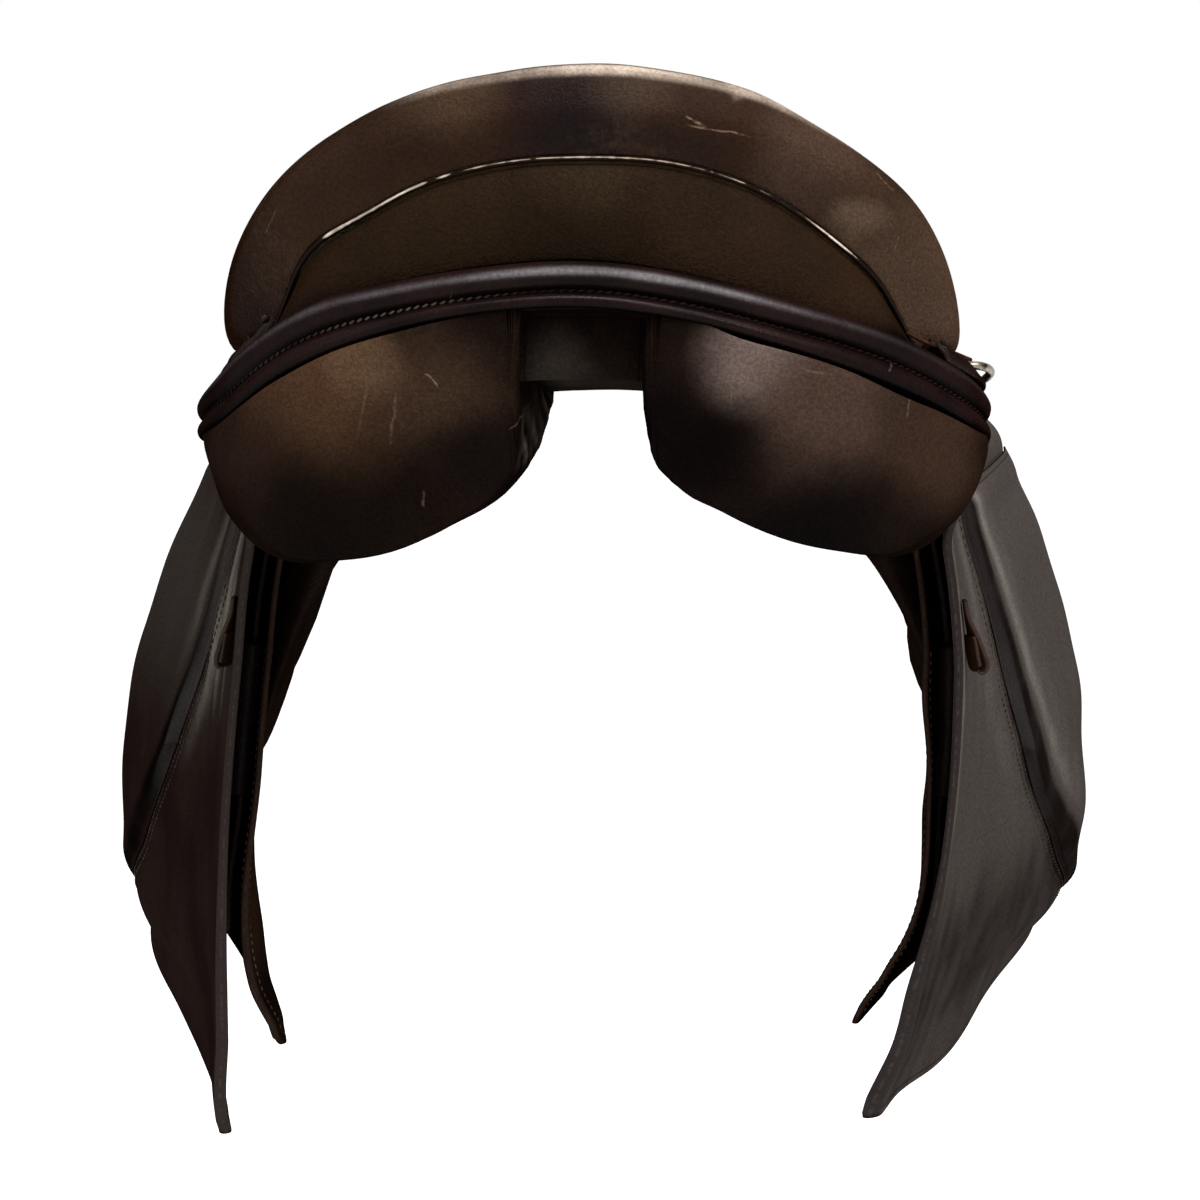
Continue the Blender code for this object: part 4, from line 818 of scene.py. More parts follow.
def sweat_depth(side, z, y=0.0):
    """The sweat flap's outer face: behind straps and guard, its tip curling in, by a profile of each side.

    The left one's rear edge bends back towards the flap. The right one leaves more room for the guard.
    """
    if side < 0:
        bent = (9.5 - 11.0 * step(y, -56, -22)) * step(-z, 120, 225)
    else:
        bent = -step(y, -56, -44) * smooth_of(z, ROOM_Z, ROOM)
    return smooth_of(z, DEPTH_Z, SWEAT_DEPTH[side]) + bent


def flank_row(side, line, depth):
    """A line of (y, z) laid on the flank at a depth, and its normals."""
    line = np.asarray(line, float)
    on = flank(side, line[:, 0], line[:, 1], depth)
    return on, unit(flank(side, line[:, 0], line[:, 1], np.asarray(depth) + 1.0) - on)


def beside(line, away):
    """A flat line moved sideways, to the left of its run, by away."""
    ahead = unit(np.gradient(line, axis=0))
    return line + away * np.stack([-ahead[:, 1], ahead[:, 0]], axis=1)


def shares(grid):
    """The shares of the way across and down a grid of rows and columns, as a row and a column."""
    rows, columns = grid
    return np.linspace(0, 1, columns)[None], np.linspace(0, 1, rows)[:, None]


def off_border(grid, width, height):
    """A sheet's distance from its border, taking its grid as a rectangle of the given size."""
    u, v = shares(grid)
    return np.minimum(np.minimum(u, 1 - u) * width, np.minimum(v, 1 - v) * height)


# Seat: a bowl from the seat's middle over the ridge and the rolled rim to the edge under it

RIDGE = [
    (0, 208, 180), (27, 203, 175), (42, 185, 164), (50, 150, 146), (61, 100, 132), (75, 50, 121),
    (88, 0, 117), (104, -50, 118), (130, -88, 123), (150, -125, 139), (138, -160, 163), (111, -186, 187),
    (74, -203, 206), (36, -210, 215), (0, -212, 218),
]
ROLL = [
    (0, 240, 174), (36, 232, 164), (56, 206, 148), (63, 150, 132), (76, 100, 123), (89, 50, 116),
    (102, 0, 112), (118, -50, 109), (146, -91, 99), (166.5, -124, 93), (159, -160, 130), (128, -190, 165),
    (84, -213, 190), (41, -224, 199), (0, -226, 202),
]
EDGE = [
    (0, 236, 158), (32, 229, 148), (50, 206, 129), (62.5, 150, 118), (75.8, 100, 114.3), (89.2, 50, 110.7),
    (102.5, 0, 107), (115.8, -50, 103.3), (128, -95, 97), (147, -146, 88), (131, -176, 121), (110, -192, 143),
    (78, -209, 166), (40, -219, 178), (0, -222, 181),
]
CENTRE = np.array([0.0, 0.0, 126.0])
AROUND, OUTWARD = 320, 120  # points round the seat and rows from its middle out
HALF_WAY = 60  # the row behind which the crest lies


def both_halves(points):
    """A line down the right side continued up the left one, closed and smooth."""
    right = np.asarray(points, float)
    return through(np.concatenate([right, right[-2:0:-1] * (-1, 1, 1)]), AROUND, closed=True)


def seat_face():
    """Rows from the middle out: a share t of the way to the ridge, raised by a power of t, then the rim."""
    ridge, roll, edge = both_halves(RIDGE), both_halves(ROLL), both_halves(EDGE)
    power = np.where(ridge[:, 2] > CENTRE[2], 1.8, 2.2)
    rows = []
    for t in (0.0, 0.2, 0.4, 0.62, 0.82):
        p = CENTRE + t * (ridge - CENTRE)
        p[:, 2] = CENTRE[2] + (ridge[:, 2] - CENTRE[2]) * t**power
        rows.append(p)
    return through(np.stack([*rows, ridge, roll, edge]), OUTWARD)


seat = seat_face()
seat_out = normals(seat, wrap=True)
seat_out[0] = (0, 0, 1)
seat_out *= np.sign(seat_out[20, :, 2].mean())
out_share = np.linspace(0, 1, OUTWARD)[:, None]
soft = 0.45 * waves(seat[..., 0], seat[..., 1] + seat[..., 2], 3, 55)
seat = seat + (soft * step(out_share, 0.1, 0.4) * (1 - step(out_share, 0.9, 1.0)))[..., None] * seat_out
leaving = unit(seat[-1] - seat[-2])  # the seat's direction where it ends, at its edge

TILT = (0.987, 0.162)  # cosine and sine of the angle at which the camera looks down
CREST_X = [-110, -88, -67, -45, -24, 2, 27, 49, 70, 92, 113, 135]
CREST_LINE = [0, 0.1, 0.5, 0.55, 0.85, 1.05, 1.05, 0.55, 0.55, 0.85, 0.4, 0.15]
CREST_BAND = [0, 0.1, 0.35, 0.5, 0.6, 0.78, 0.6, 0.5, 0.55, 0.42, 0.3, 0.08]


def crest_painted_highlight():
    """The rim's painted highlight: a narrow line and a broad band behind its highest row, each a share over x.

    Height is square to the line of sight, and drop is how far a row behind the highest one lies below it.
    """
    height = TILT[0] * seat[..., 2] + TILT[1] * seat[..., 1]
    behind = np.arange(1, OUTWARD)[:, None] > HALF_WAY + height[HALF_WAY:].argmax(axis=0)
    drop = (height[HALF_WAY:].max(axis=0) - height)[1:] * behind
    x, y = seat[1:, :, 0], seat[1:, :, 1]
    line = smooth_of(x, CREST_X, CREST_LINE) * np.exp(-(((drop - 2.0) / 1.1) ** 2))
    band = smooth_of(x, CREST_X, CREST_BAND) * (1 - step(drop, 3.8, 7.8))
    uneven = 0.9 + 0.25 * waves(x, y, 61, 18)
    return np.maximum(line, band) * step(drop, 0.2, 1.2) * step(-y, 120, 170) * uneven


def seat_leather():
    """The seat's face, four rings of a half ellipse round its edge, and the face again a skin's depth in."""
    inner = (seat - SEAT_SKIN * seat_out)[::-1]
    turn = np.radians([36, 72, 108, 144])[:, None, None]
    middle, half = (seat[-1] + inner[0]) / 2, (seat[-1] - inner[0]) / 2
    lip = middle + np.cos(turn) * half + np.sin(turn) * 0.9 * leaving
    rings = np.concatenate([seat[1:], lip, inner[:-1:3]])
    # The crest's painted highlight, kept as the mark of painted light.
    crest = crest_painted_highlight()
    sheen = np.concatenate([crest, np.zeros((len(rings) - len(crest), AROUND))])
    return tube("seat_cover_leather", rings, SEAT, sheen=sheen)


def foam_floor(t):
    """The foam's underside: flat at 105 in the middle, and up to the edge as the power 2.2 of the share t."""
    rim = both_halves(EDGE)
    p = rim.copy()
    p[:, :2] -= 6.0 * unit(rim[:, :2])
    p[:, 2] += 4.0
    q = t * p
    q[:, 2] = 105.0 + (p[:, 2] - 105.0) * t**2.2
    return q


def foam_block():
    """The foam under the cover: rows 3.7 below the seat's face, then its underside."""
    top = (seat - 3.7 * seat_out)[1:109:4]
    low = np.stack([foam_floor(t) for t in np.linspace(1, 0.05, 16)])
    return tube("seat_foam_block", np.concatenate([top, low]), FELT)


# Cantle: worn piping, double welt and facing

piping = even((seat[-1] + 2.4 * leaving)[seat[-1, :, 1] < -150][::-1], 260)
WORN_X = [
    -140, -114, -110, -100, -76, -70, -66, -60, -56, -50, -28, -18,
    30, 60, 88, 96, 110, 118, 122, 125, 128, 132, 136, 142,
]
WORN = [
    0, 0.1, 0.84, 0.86, 0.84, 0.84, 0.35, 0.80, 0.4, 0.56, 0.54, 0.60,
    0.60, 0.54, 0.50, 0.66, 0.78, 0.4, 0.1, 0.5, 0.1, 0.1, 0.5, 0,
]


def piping_cord():
    """The cord along the seat's edge, worn by the share WORN over x, and only on the side that is seen."""
    worn = np.concatenate([np.zeros(CAP), smooth_of(piping[:, 0], WORN_X, WORN), np.zeros(CAP)])[:, None]
    rings = rounded(swept(piping, (0, 0, 1), circle(PIPING_RADIUS)), 1.0)
    seen = unit(rings - rings.mean(axis=1, keepdims=True)) @ unit(np.array([0.1, -0.8, 0.6]))
    seen = seen / seen.max(axis=1, keepdims=True)
    marks = {"worn": worn + 1.9 * (seen - 1), "cream": step(worn, 0.58, 0.8) + 0 * seen}
    return tube("cantle_piping_cord", rings, PIPING_LEATHER, **marks)


WELT = [
    (-168, -82, 38), (-174.5, -105, 49), (-175, -132, 58.5), (-158, -163, 75), (-126, -191, 97),
    (-80, -214, 113), (-36, -225, 121), (0, -228, 123), (36, -225, 118.5), (80, -214, 107), (126, -191, 91.5),
    (157, -163, 75), (174, -132, 60), (174.5, -105, 51), (168, -82, 40),
]
DOUBLE = [
    (-4.2, 9.0), (-2.6, 11.8), (0.8, 12.8), (4.0, 11.4), (5.6, 8.0), (4.7, 4.2), (2.4, 1.7), (1.2, 0.4),
    (2.6, -1.4), (4.2, -4.4), (4.1, -7.4), (2.4, -9.6), (-0.6, -10.2), (-3.6, -8.8), (-4.4, -5.0),
    (-4.4, 2.0),
]
WELT_STEPS, WELT_ROUND = 420, 56
GLOW_X, GLOW = [-175, -130, -80, -20, 40, 90, 140, 175], [0.25, 0.4, 0.5, 1.0, 1.1, 0.42, 0.2, 0.15]


REAR_MIDDLE = (0, -100, 0)


def outward_of(path):
    """Level directions away from the middle of the rear ellipse."""
    return unit((path - REAR_MIDDLE) * (1, 1, 0))


def double_welt():
    """Two rolls with a groove between them, carried along the welt's line, and the stitches in the groove.

    The profile tapers by a root towards both ends, and the lower roll is slimmer in the middle. The upper
    roll gets a painted highlight in a Gaussian band by the share GLOW over x, a weaker one the lower roll, and
    the groove painted shade.
    """
    path = even(WELT, WELT_STEPS)
    away = outward_of(path)
    rise = np.cross(unit(np.gradient(path, axis=0)), away)
    flip = np.sign(rise[WELT_STEPS // 2, 2])
    to_end = np.minimum(np.arange(WELT_STEPS), np.arange(WELT_STEPS)[::-1])
    taper = (0.3 + 0.7 * np.sqrt(step(to_end, -4, 66)))[:, None, None]
    out, up = through(DOUBLE, WELT_ROUND, closed=True).T
    slim = (0.66 + 0.34 * step(np.abs(path[:, 0]), 50, 130))[:, None]
    profile = np.stack([0 * slim + out, up * np.where(up < 0, slim, 1.0)], axis=-1) * (1, flip) * taper
    # Painted highlight on both rolls and painted shade in the groove, kept as the mark of painted light.
    top_side = np.exp(-(((up - 9.0) / 1.7) ** 2)) * step(out, -1.5, 2.0)
    low_side = 0.3 * np.exp(-(((up + 3.0) / 0.9) ** 2)) * step(out, 1.0, 3.0)
    groove_shade = np.exp(-(((up - 1.0) / 2.0) ** 2)) + step(-up, 6, 10)
    glow = smooth_of(path[:, 0], GLOW_X, GLOW)[:, None] * (top_side + low_side) - groove_shade
    end = np.zeros((CAP, WELT_ROUND))
    rings = rounded(swept(path, away, profile), 4.0)
    roll = tube("rear_welt_roll", rings, WELT_LEATHER, sheen=np.concatenate([end, glow, end]))
    groove = path + 1.5 * away + flip * 0.4 * unit(rise)
    groove_out = away - 0.2 * flip * unit(rise)
    rows = [(groove[40:-40], groove_out[40:-40])]
    return roll, stitches("rear_welt_stitching", rows, WELT_THREAD, 3.0, 4.0, 0.6, 0.35)


def cantle_facing():
    """The leather between piping and welt: ruled from one to the other and filled out by half a sine wave."""
    top = even(piping, 240)[4:-4]
    line = [(-144, -157, 93), *[(x * 0.985, y + 3.0, z + 13.2) for x, y, z in WELT[4:11]], (144, -157, 93)]
    low = even(line, 240)[4:-4]
    v = np.linspace(0, 1, 40)[:, None, None]
    face = top * (1 - v) + low * v - (0, 0, 2.6) * (1 - v)
    out = outward_of(face.reshape(-1, 3)).reshape(face.shape)
    face = face - out * (0.5 - 3.0 * np.sin(math.pi * v))
    face = face + 0.35 * waves(face[..., 0], face[..., 2], 8, 30)[..., None] * out * np.sin(math.pi * v)
    return shell("cantle_facing_leather", face, face - FACING_SKIN * out, FACING, 0.3)


# Panels: closed rings across the saddle from the rear end to the front of the knee, as (x, z)

BELLY_X = [26, 30, 38, 57, 88, 115, 135, 156, 170, 176]
BELLY_Z = [74, 55, 41, 27, 10.5, 3.8, 1.0, 7.5, 21, 40]
BAND_X = [26, 70, 127, 155, 174]
BAND_Z = [116, 106.5, 87, 71, 56]
PANEL_RINGS = {
    -50: [
        (28, 66), (29, 46), (42, 32), (64, 19), (88, 8), (110, 1), (126, -1),
        (135, 3), (140, 13), (142, 28), (137, 44), (115, 62), (86, 87), (54, 88.5),
    ],
    20: [
        (27, 62), (29, 46), (42, 37), (60, 26), (82, 12), (104, -2), (123, -15),
        (136, -23), (145, -20), (149, -4), (138, 24), (108, 50), (77, 79), (52, 86),
    ],
    90: [
        (30, 74), (34, 60), (52, 52), (76, 38), (105, 17), (133, -18), (156, -60),
        (172, -104), (180, -105), (180, -58), (153, 6), (108, 46), (75, 71), (50, 88),
    ],
    150: [
        (33, 86), (38, 75), (60, 67), (86, 50), (118, 22), (148, -24), (168, -80),
        (187, -146), (198, -152), (202, -88), (174, -4), (108, 41), (77, 70), (50, 88),
    ],
    200: [
        (42, 95), (48, 86), (68, 76), (92, 58), (121, 32), (152, -12), (170, -66),
        (188, -132), (199, -138), (204, -80), (176, -6), (112, 38), (84, 63.5), (60, 83.5),
    ],
}
WIDEST, LAST = -118, 200  # y of the panel's widest ring behind and of its last full one in front
REAR_RUN = 108  # from the widest ring back to the end
PANEL_ROUND = 84


def rear_ring(y):
    """A panel's outline behind its widest point.

    Its reach is a superellipse of power 2.2 over y, and its floor and top follow two profiles.
    """
    lean = min(1.0, (WIDEST - y) / REAR_RUN)
    reach = 31 + 145 * math.sqrt(max(0.0, 1 - lean**2.2))
    drop = 18 * float(step(y, -222, WIDEST))
    share = (reach - 29) / 147
    wide = lambda f: 29 + (reach - 29) * f
    top = lambda x: float(smooth_of(x, BAND_X, BAND_Z))
    belly = lambda x: float(smooth_of(x, BELLY_X, BELLY_Z))
    low, high = belly(reach), top(reach) - 1
    out = [(27.5, top(27.5) - drop - 2), (29.0 - 1.0 * (1 - share), 56 + 20 * (1 - share))]
    out += [(wide(f), belly(wide(f)) + 2.0 * (1 - share) * f**3) for f in (0.10, 0.27, 0.47, 0.68, 0.86)]
    out += [(wide(0.965), low + 0.06 * (high - low)), (reach, low + 0.28 * (high - low))]
    out += [(reach + 1.5 * share, low + 0.62 * (high - low)), (wide(0.985), high)]
    return out + [(wide(f), top(wide(f)) - drop) for f in (0.75, 0.45, 0.2)]


def panel_rings():
    """Rear rings, then rings that run smoothly through the five given outlines, then a rounded front end."""
    keys = sorted(PANEL_RINGS)
    controls = np.array([rear_ring(float(WIDEST)), *[PANEL_RINGS[k] for k in keys]], float)
    rear_y = WIDEST - REAR_RUN * np.sin(np.radians(np.linspace(89, 3, 34)))
    front_y = np.linspace(-112, LAST, 76)
    rings = [through(rear_ring(float(y)), PANEL_ROUND, closed=True) for y in rear_y]
    for y in front_y:
        flat = [[smooth_of(y, [WIDEST, *keys], controls[:, i, c]) for c in (0, 1)] for i in range(14)]
        ring = through(np.array(flat), PANEL_ROUND, closed=True)
        if y > -75:
            sweat = sweat_depth(-1.0, ring[:, 1], 0 * ring[:, 1] + 40)
            room = flank_x(1.0, y, ring[:, 1]) + 1.12 * (sweat - SWEAT - 1.8)
            ring[:, 0] = np.minimum(ring[:, 0], room)
        rings.append(ring)
    ys = [*rear_y, *front_y]
    last = rings[-1]
    middle = last.mean(axis=0)
    for turn in np.radians([18, 36, 54, 70, 82]):
        rings.append(middle + (last - middle) * math.cos(turn) ** 0.7)
        ys.append(LAST + 13 * math.sin(turn))
    return np.stack([np.insert(ring, 1, y, axis=1) for ring, y in zip(rings, ys)])


def panel_cushions():
    """Both panels, their rings moved out by soft waves, wrinkled on the wall at the gullet.

    On the right the upper rear edge has sunk, and on the left the wrinkles get painted highlights and painted
    shade.
    """
    rings = panel_rings()
    x, y, z = np.moveaxis(rings, -1, 0)
    out = normals(rings, wrap=True)
    out *= np.sign((out * (rings - rings.mean(axis=1, keepdims=True))).sum())
    lumps = 0.7 * waves(y, x + z, 21, 70)
    wall = step(-x, -40, -31) * step(z, 30, 44) * step(-y, -200, 190)
    wrinkle = waves(y * 0.5 + z * 1.5, z * 0.4, 31, 16)
    calm = step(np.abs(y - 213), 0, 10)
    filled = rings + ((lumps + 1.1 * wrinkle * wall) * calm)[..., None] * out
    # Painted highlights and painted shade on the left wall's wrinkles.
    shade = wall * (0.35 + 0.7 * wrinkle) * step(z, 34, 50) * (1 - step(z, 62, 76)) * step(y, -208, -185)
    sunk = 6.5 * step(-y, 120, 190) * step(z, 55, 88) * step(x, 34, 70)
    for word, side in SIDES:
        form = filled - (sunk * (side > 0))[..., None] * np.array([0, 0, 1.0])
        yield tube(f"panel_cushion_{word}", mirrored(form, side), PANEL, sheen=shade * (side < 0))


# Gullet lining and pommel facing

APRON = [
    (-222, 117), (-217.5, 105), (-213.5, 93), (-209, 87.5), (-202, 87.2), (-185, 88), (-150, 86.5),
    (-118, 82), (-50, 68), (0, 61.5), (50, 64), (100, 73), (150, 89), (190, 106), (205, 111),
]
FRONT_TOP = [(-54, 200, 123.5), (-48, 208.5, 128.3), (-33, 225.5, 145.4), (0, 231.5, 155.5)]
FRONT_LOW = [(-72, 200.5, 80), (-55, 200.5, 91), (-30, 200.5, 105.5), (0, 200.5, 110.5)]


def gullet_lining():
    """The lining between the panels: the line APRON carried across, a little arched, stepped at its rear."""
    line = even(APRON, 170)
    y, x = np.meshgrid(line[:, 0], np.linspace(-28.5, 28.5, 26), indexing="ij")
    z = line[:, 1:] - 0.8 * (x / 26) ** 2 - 1 + 0.35 * waves(x, y, 5, 22)
    strip = 0.9 * step(y, -212, -210) * (1 - step(y, -206, -204))
    face = np.stack([x, y, z + LINING_SKIN / 2], axis=-1)
    back = np.stack([x, y - 0.3, z - LINING_SKIN / 2 - strip], axis=-1)
    return shell("gullet_lining_leather", face, back, LINING, 0.5)


def pommel_facing():
    """The leather under the pommel: ruled between two mirrored lines and filled by half a sine wave."""
    full = ([*line, *[(-x, y, z) for x, y, z in line[-2::-1]]] for line in (FRONT_TOP, FRONT_LOW))
    top, low = (even(line, 90) for line in full)
    v = np.linspace(0, 1, 24)[:, None, None]
    face = top * (1 - v) + low * v + 4 * np.sin(math.pi * v) * (0, 1, 0)
    return shell("pommel_facing_leather", face, face - (0, 2.0, 0.6), FACING, 0.4)


cover = seat_leather()
foam = foam_block()
cord = piping_cord()
welt, welt_thread = double_welt()
facing = cantle_facing()
panels = [*panel_cushions()]
lining = gullet_lining()
pommel = pommel_facing()
for piece, node in (
    (cover, "seat_cover"), (foam, "seat_foam"), (cord, "cantle_piping"), (welt, "rear_welt"),
    (facing, "cantle_facing"), (panels[0], "panel_left"), (panels[1], "panel_right"),
    (lining, "gullet_lining"), (pommel, "pommel_facing"),
):
    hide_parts(node)
    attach(piece, "saddle")
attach(welt_thread, "saddle")

# The hanging leather of each side, every piece made by a function of its side's sign and word


def fold_relief(side, y, z):
    """Folds down the flap: Gaussian ridges about forward-leaning lines, fading below, deeper on the left."""
    total = 0.0
    for start, high, wide in ((-52, 2.2, 6.0), (-30, 2.6, 7.0), (-4, 1.8, 8.0)):
        line = start + 0.16 * (55 - z)
        fade = step(z, -150, -60) * (1 - step(z, 30, 55))
        total = total + high * np.exp(-(((y - line) / wide) ** 2)) * fade
    return total * (1.0 if side < 0 else 0.25) + 0.5 * waves(y, z, 12 if side < 0 else 13, 60)


def sheen_of(side, y, z):
    """Painted highlights and painted shade: bands beside the pad's edge and along the folds, by distance into
    the pad.
    """
    edge = even([*PAD_REAR, *PAD_LOW[1:]], 160)
    flat = np.stack([np.ravel(y), np.ravel(z)], axis=1)
    nearest = np.argmin(((flat[:, None] - edge[None]) ** 2).sum(axis=2), axis=1)
    ahead = unit(np.gradient(edge, axis=0))[nearest]
    gap = flat - edge[nearest]
    into = (ahead[:, 0] * gap[:, 1] - ahead[:, 1] * gap[:, 0]).reshape(np.shape(y))
    hill = lambda at, wide: np.exp(-(((into - at) / wide) ** 2))
    streak = waves(y, z * 0.12, 71, 26)
    if side < 0:
        total = 0.75 * step(fold_relief(side, y, z), 0.5, 2.6) - 0.9 * hill(5, 6)
        total = total + 0.35 * hill(22, 12) * step(z, -150, -40) + 0.6 * hill(-16, 12) * step(z, -170, -90)
        total = total - 0.15 * step(-z, 130, 240) + 0.25 * streak
    else:
        total = 0.75 * hill(26, 9) * step(z, -230, -120) - 1.25 * hill(7, 10) + 0.25 * hill(44, 14)
        total = total + 0.3 * hill(-24, 14) * step(z, -200, -120)
        total = total - 0.62 * step(-z, 165, 225) * (1 - 0.35 * step(-z, 245, 300))
        total = total + 0.2 * streak + 0.65 * (1 - step(y, -72, -46)) * step(z, -230, -130)
    return np.clip(total, -1, 1)


def flap_sheet(side, word):
    """The flap: folds on the flank, lower on the right, and an underside that deepens to the lower edge."""
    y, z = np.moveaxis(patch(FLAP_TOP, FLAP_REAR, FLAP_LOW, FLAP_FRONT, *FLAP_GRID), -1, 0)
    folds = fold_relief(side, y, z) * step(off_border(FLAP_GRID, 290, 360), 0, 14)
    outer = flank(side, y, z, np.minimum(folds, 0.9) if side > 0 else folds)
    under = flank(side, y, z, -FLAP - (2.8 + 1.6 * side) * step(-z, 150, 270))
    return shell(f"flap_sheet_{word}", outer, under, FLAPS[word], 1.3, sheen=sheen_of(side, y, z))


def knee_pad(side, word):
    """A pad on the flap: it swells by a quarter sine wave within 15 mm of its edge, more lower down."""
    y, z = np.moveaxis(patch(PAD_TOP, PAD_REAR, PAD_LOW, PAD_FRONT, *PAD_GRID), -1, 0)
    depth_in = off_border(PAD_GRID, 200, 240)
    swell = np.sin(np.clip(depth_in / 15, 0, 1) * math.pi / 2) ** 1.2
    crown = 1.2 + (4.2 + 1.6 * step(-z, 40, 130)) * swell + fold_relief(side, y, z) * step(depth_in, 0, 12)
    faces = [flank(side, y, z, depth) for depth in (crown, 0.4)]
    return shell(f"knee_pad_cushion_{word}", *faces, FLAPS[word], 0.7, sheen=sheen_of(side, y, z))


def flap_stitching(side, word):
    """Two rows of stitches on the flap, beside the pad."""
    pad_edge = np.concatenate([even(PAD_REAR, 60), even(PAD_LOW, 40)[1:]])
    rows = []
    for away in (-3.2, -8.2):
        line = beside(pad_edge, away)
        rows.append(flank_row(side, line, 0.15 + fold_relief(side, line[:, 0], line[:, 1]) * (side < 0)))
    return stitches(f"flap_stitching_{word}", rows, DARK_THREAD, *STITCH)


HUNG = [  # the keeper's line as (down, off the flap)
    (0, 0.4), (8, 1.0), (16, 2.8), (24, 5.0), (29, 6.6), (32.5, 6.0), (32.5, 3.8), (29, 2.8), (24, 2.0),
    (17, 1.4),
]


def keeper_loop(side, word):
    """A strap carried along its line: it hangs away from the flap, turns by 29 degrees and doubles back."""
    down, off = even(HUNG, 90).T
    path = flank(side, SLOT_Y + 0 * down, SLOT_Z - down, off * (1.0 if side > 0 else 0.6) + 1.5)
    turned = np.radians(29) * step(down, 4, 22)
    across = np.stack([-side * np.sin(turned), np.cos(turned), 0 * turned], axis=1)
    return tube(f"keeper_loop_{word}", rounded(swept(path, across, slab(*KEEPER_SIZE)), 0.8), KEEPER_LEATHER)


def over_skirt(ys):
    """Rows of the right skirt over y: a Hermite curve from the seam to the flank, then down the flank."""
    low_z = smooth_of(-ys, [-171, -120, -60, 0, 56], [52, 30, 19, 20, 27])
    start = seam(ys) + (2.9, 0, -0.6)
    join, below = (flank(1.0, ys, z + 0 * ys, SKIRT_FACE) for z in (60.0, 58.0))
    lean, span = unit(below - join), np.linalg.norm(join - start, axis=1)[:, None]
    t = np.linspace(0, 1, 50)[:-1, None, None]
    h00, h10 = 2 * t**3 - 3 * t**2 + 1, t**3 - 2 * t**2 + t
    h01, h11 = 3 * t**2 - 2 * t**3, t**3 - t**2
    upper = h00 * start + h10 * span * np.array([0.95, 0, -0.05]) + h01 * join + h11 * span * 1.1 * lean
    t = np.linspace(0, 1, 36)[:, None]
    return np.concatenate([upper, flank(1.0, ys + 0 * t, 60 + (low_z - 60) * t, SKIRT_FACE)])


def skirt_sheet(side, word):
    """The skirt over the flap, and a row of stitches along its front, lower and rear edges."""
    grid = over_skirt(np.linspace(171, -56, 100))
    out = normals(grid)
    out *= np.sign(out[60, 50, 0])
    faces = [mirrored(g, side) for g in (grid, grid - SKIRT * out)]
    sheet = shell(f"skirt_sheet_{word}", *faces, SKIRT_LEATHER, 0.9)
    lines = (np.s_[-8, 4:-4], np.s_[12:-8, -5], np.s_[12:-8, 4])
    rows = [[mirrored(g[line], side) for g in (grid, out)] for line in lines]
    return sheet, stitches(f"skirt_stitching_{word}", rows, DARK_THREAD, *STITCH)


TAIL_RUN = [60, 85, 115, 140, 158]
TAIL_X, TAIL_Z = [164, 171, 176.5, 171, 157.5], [67, 67.5, 73, 81, 90]


def skirt_tail(side, word):
    """The skirt's tail: ruled from the seam to its end line, arched by a sine wave and pleated at the rear."""
    y = np.linspace(-60, -158, 60)
    t = np.linspace(0, 1, 40)[:, None, None]
    end_x = smooth_of(-y, TAIL_RUN, TAIL_X) + 2.5 * side * step(-y, 60, 100)
    end = np.stack([end_x, y, smooth_of(-y, TAIL_RUN, TAIL_Z)], axis=1)
    tail = (seam(y) + (2.0, 0, -0.8)) * (1 - t) + end * t + 4.5 * np.sin(math.pi * t) * (0, 0, 1)
    gather = 1.6 * np.sin(t * 3 * math.pi) ** 2 * step(-y, 96, 150)[None, :, None] * (0.5, 0, 0.8)
    faces = [mirrored(grid, side) for grid in (tail + gather, tail - (1.2, 0, 2.4))]
    return shell(f"skirt_tail_sheet_{word}", *faces, SKIRT_LEATHER, 0.7)


KNOT = np.array([(-143, -163, 107), (-150, -160, 99), (-160, -152, 90), (-169, -141, 80.5), (-175, -128, 71)])
SLIT = [(141, -166, 101), (150, -161, 96.5), (161, -151, 92), (171, -138, 87)]
NAIL = (-144, -167.5, 106.5)


def gathered(word):
    """Two folds of the tail that run together at a nail, whose head is half an ellipsoid."""
    for k, (aside, size) in enumerate(((-2.6, 2.0), (1.6, 2.3))):
        path = even(KNOT + np.linspace(0.2, 1, 5)[:, None] * aside * np.array([0.5, 0, -0.85]), 90)
        wide = 1 + 0.18 * waves(np.linspace(0, 60, 90), 0 * path[:, 0], 40 + k, 14)
        rings = swept(path + (2.5, 0, -1.5), (0, -1, 0.4), circle(size, 14) * wide[:, None, None])
        yield tube(f"tail_fold_{k + 1}_{word}", rounded(rings, 1.5), SKIRT_LEATHER)
    rise = np.linspace(0, math.pi / 2, 12)[:, None]
    a = np.linspace(0, 2 * math.pi, 20, endpoint=False)[None]
    reach = 2.2 * np.cos(rise) + 0.02
    head = np.stack([reach * np.cos(a), -2.4 * np.sin(rise) + 0 * a, reach * np.sin(a)], axis=-1)
    yield tube(f"tail_nail_{word}", head + NAIL, SKIRT_LEATHER)


def split(word):
    """The torn edge where the tail is split, a thin cord along it."""
    rings = rounded(swept(even(SLIT, 80), (0, -1, 0.5), circle(0.9, 12)), 0.8)
    yield tube(f"tail_slit_{word}", rings, TORN_LEATHER)


def seam_cord(side, word):
    """The cord in the seam between seat and skirt: a circle carried along it."""
    line = mirrored(seam(np.linspace(171, -58, 60)), side)
    rings = rounded(swept(line, (0, 0, 1), circle(CORD_RADIUS, 14)), 1.4)
    return tube(f"seam_cord_roll_{word}", rings, CORD_LEATHER)


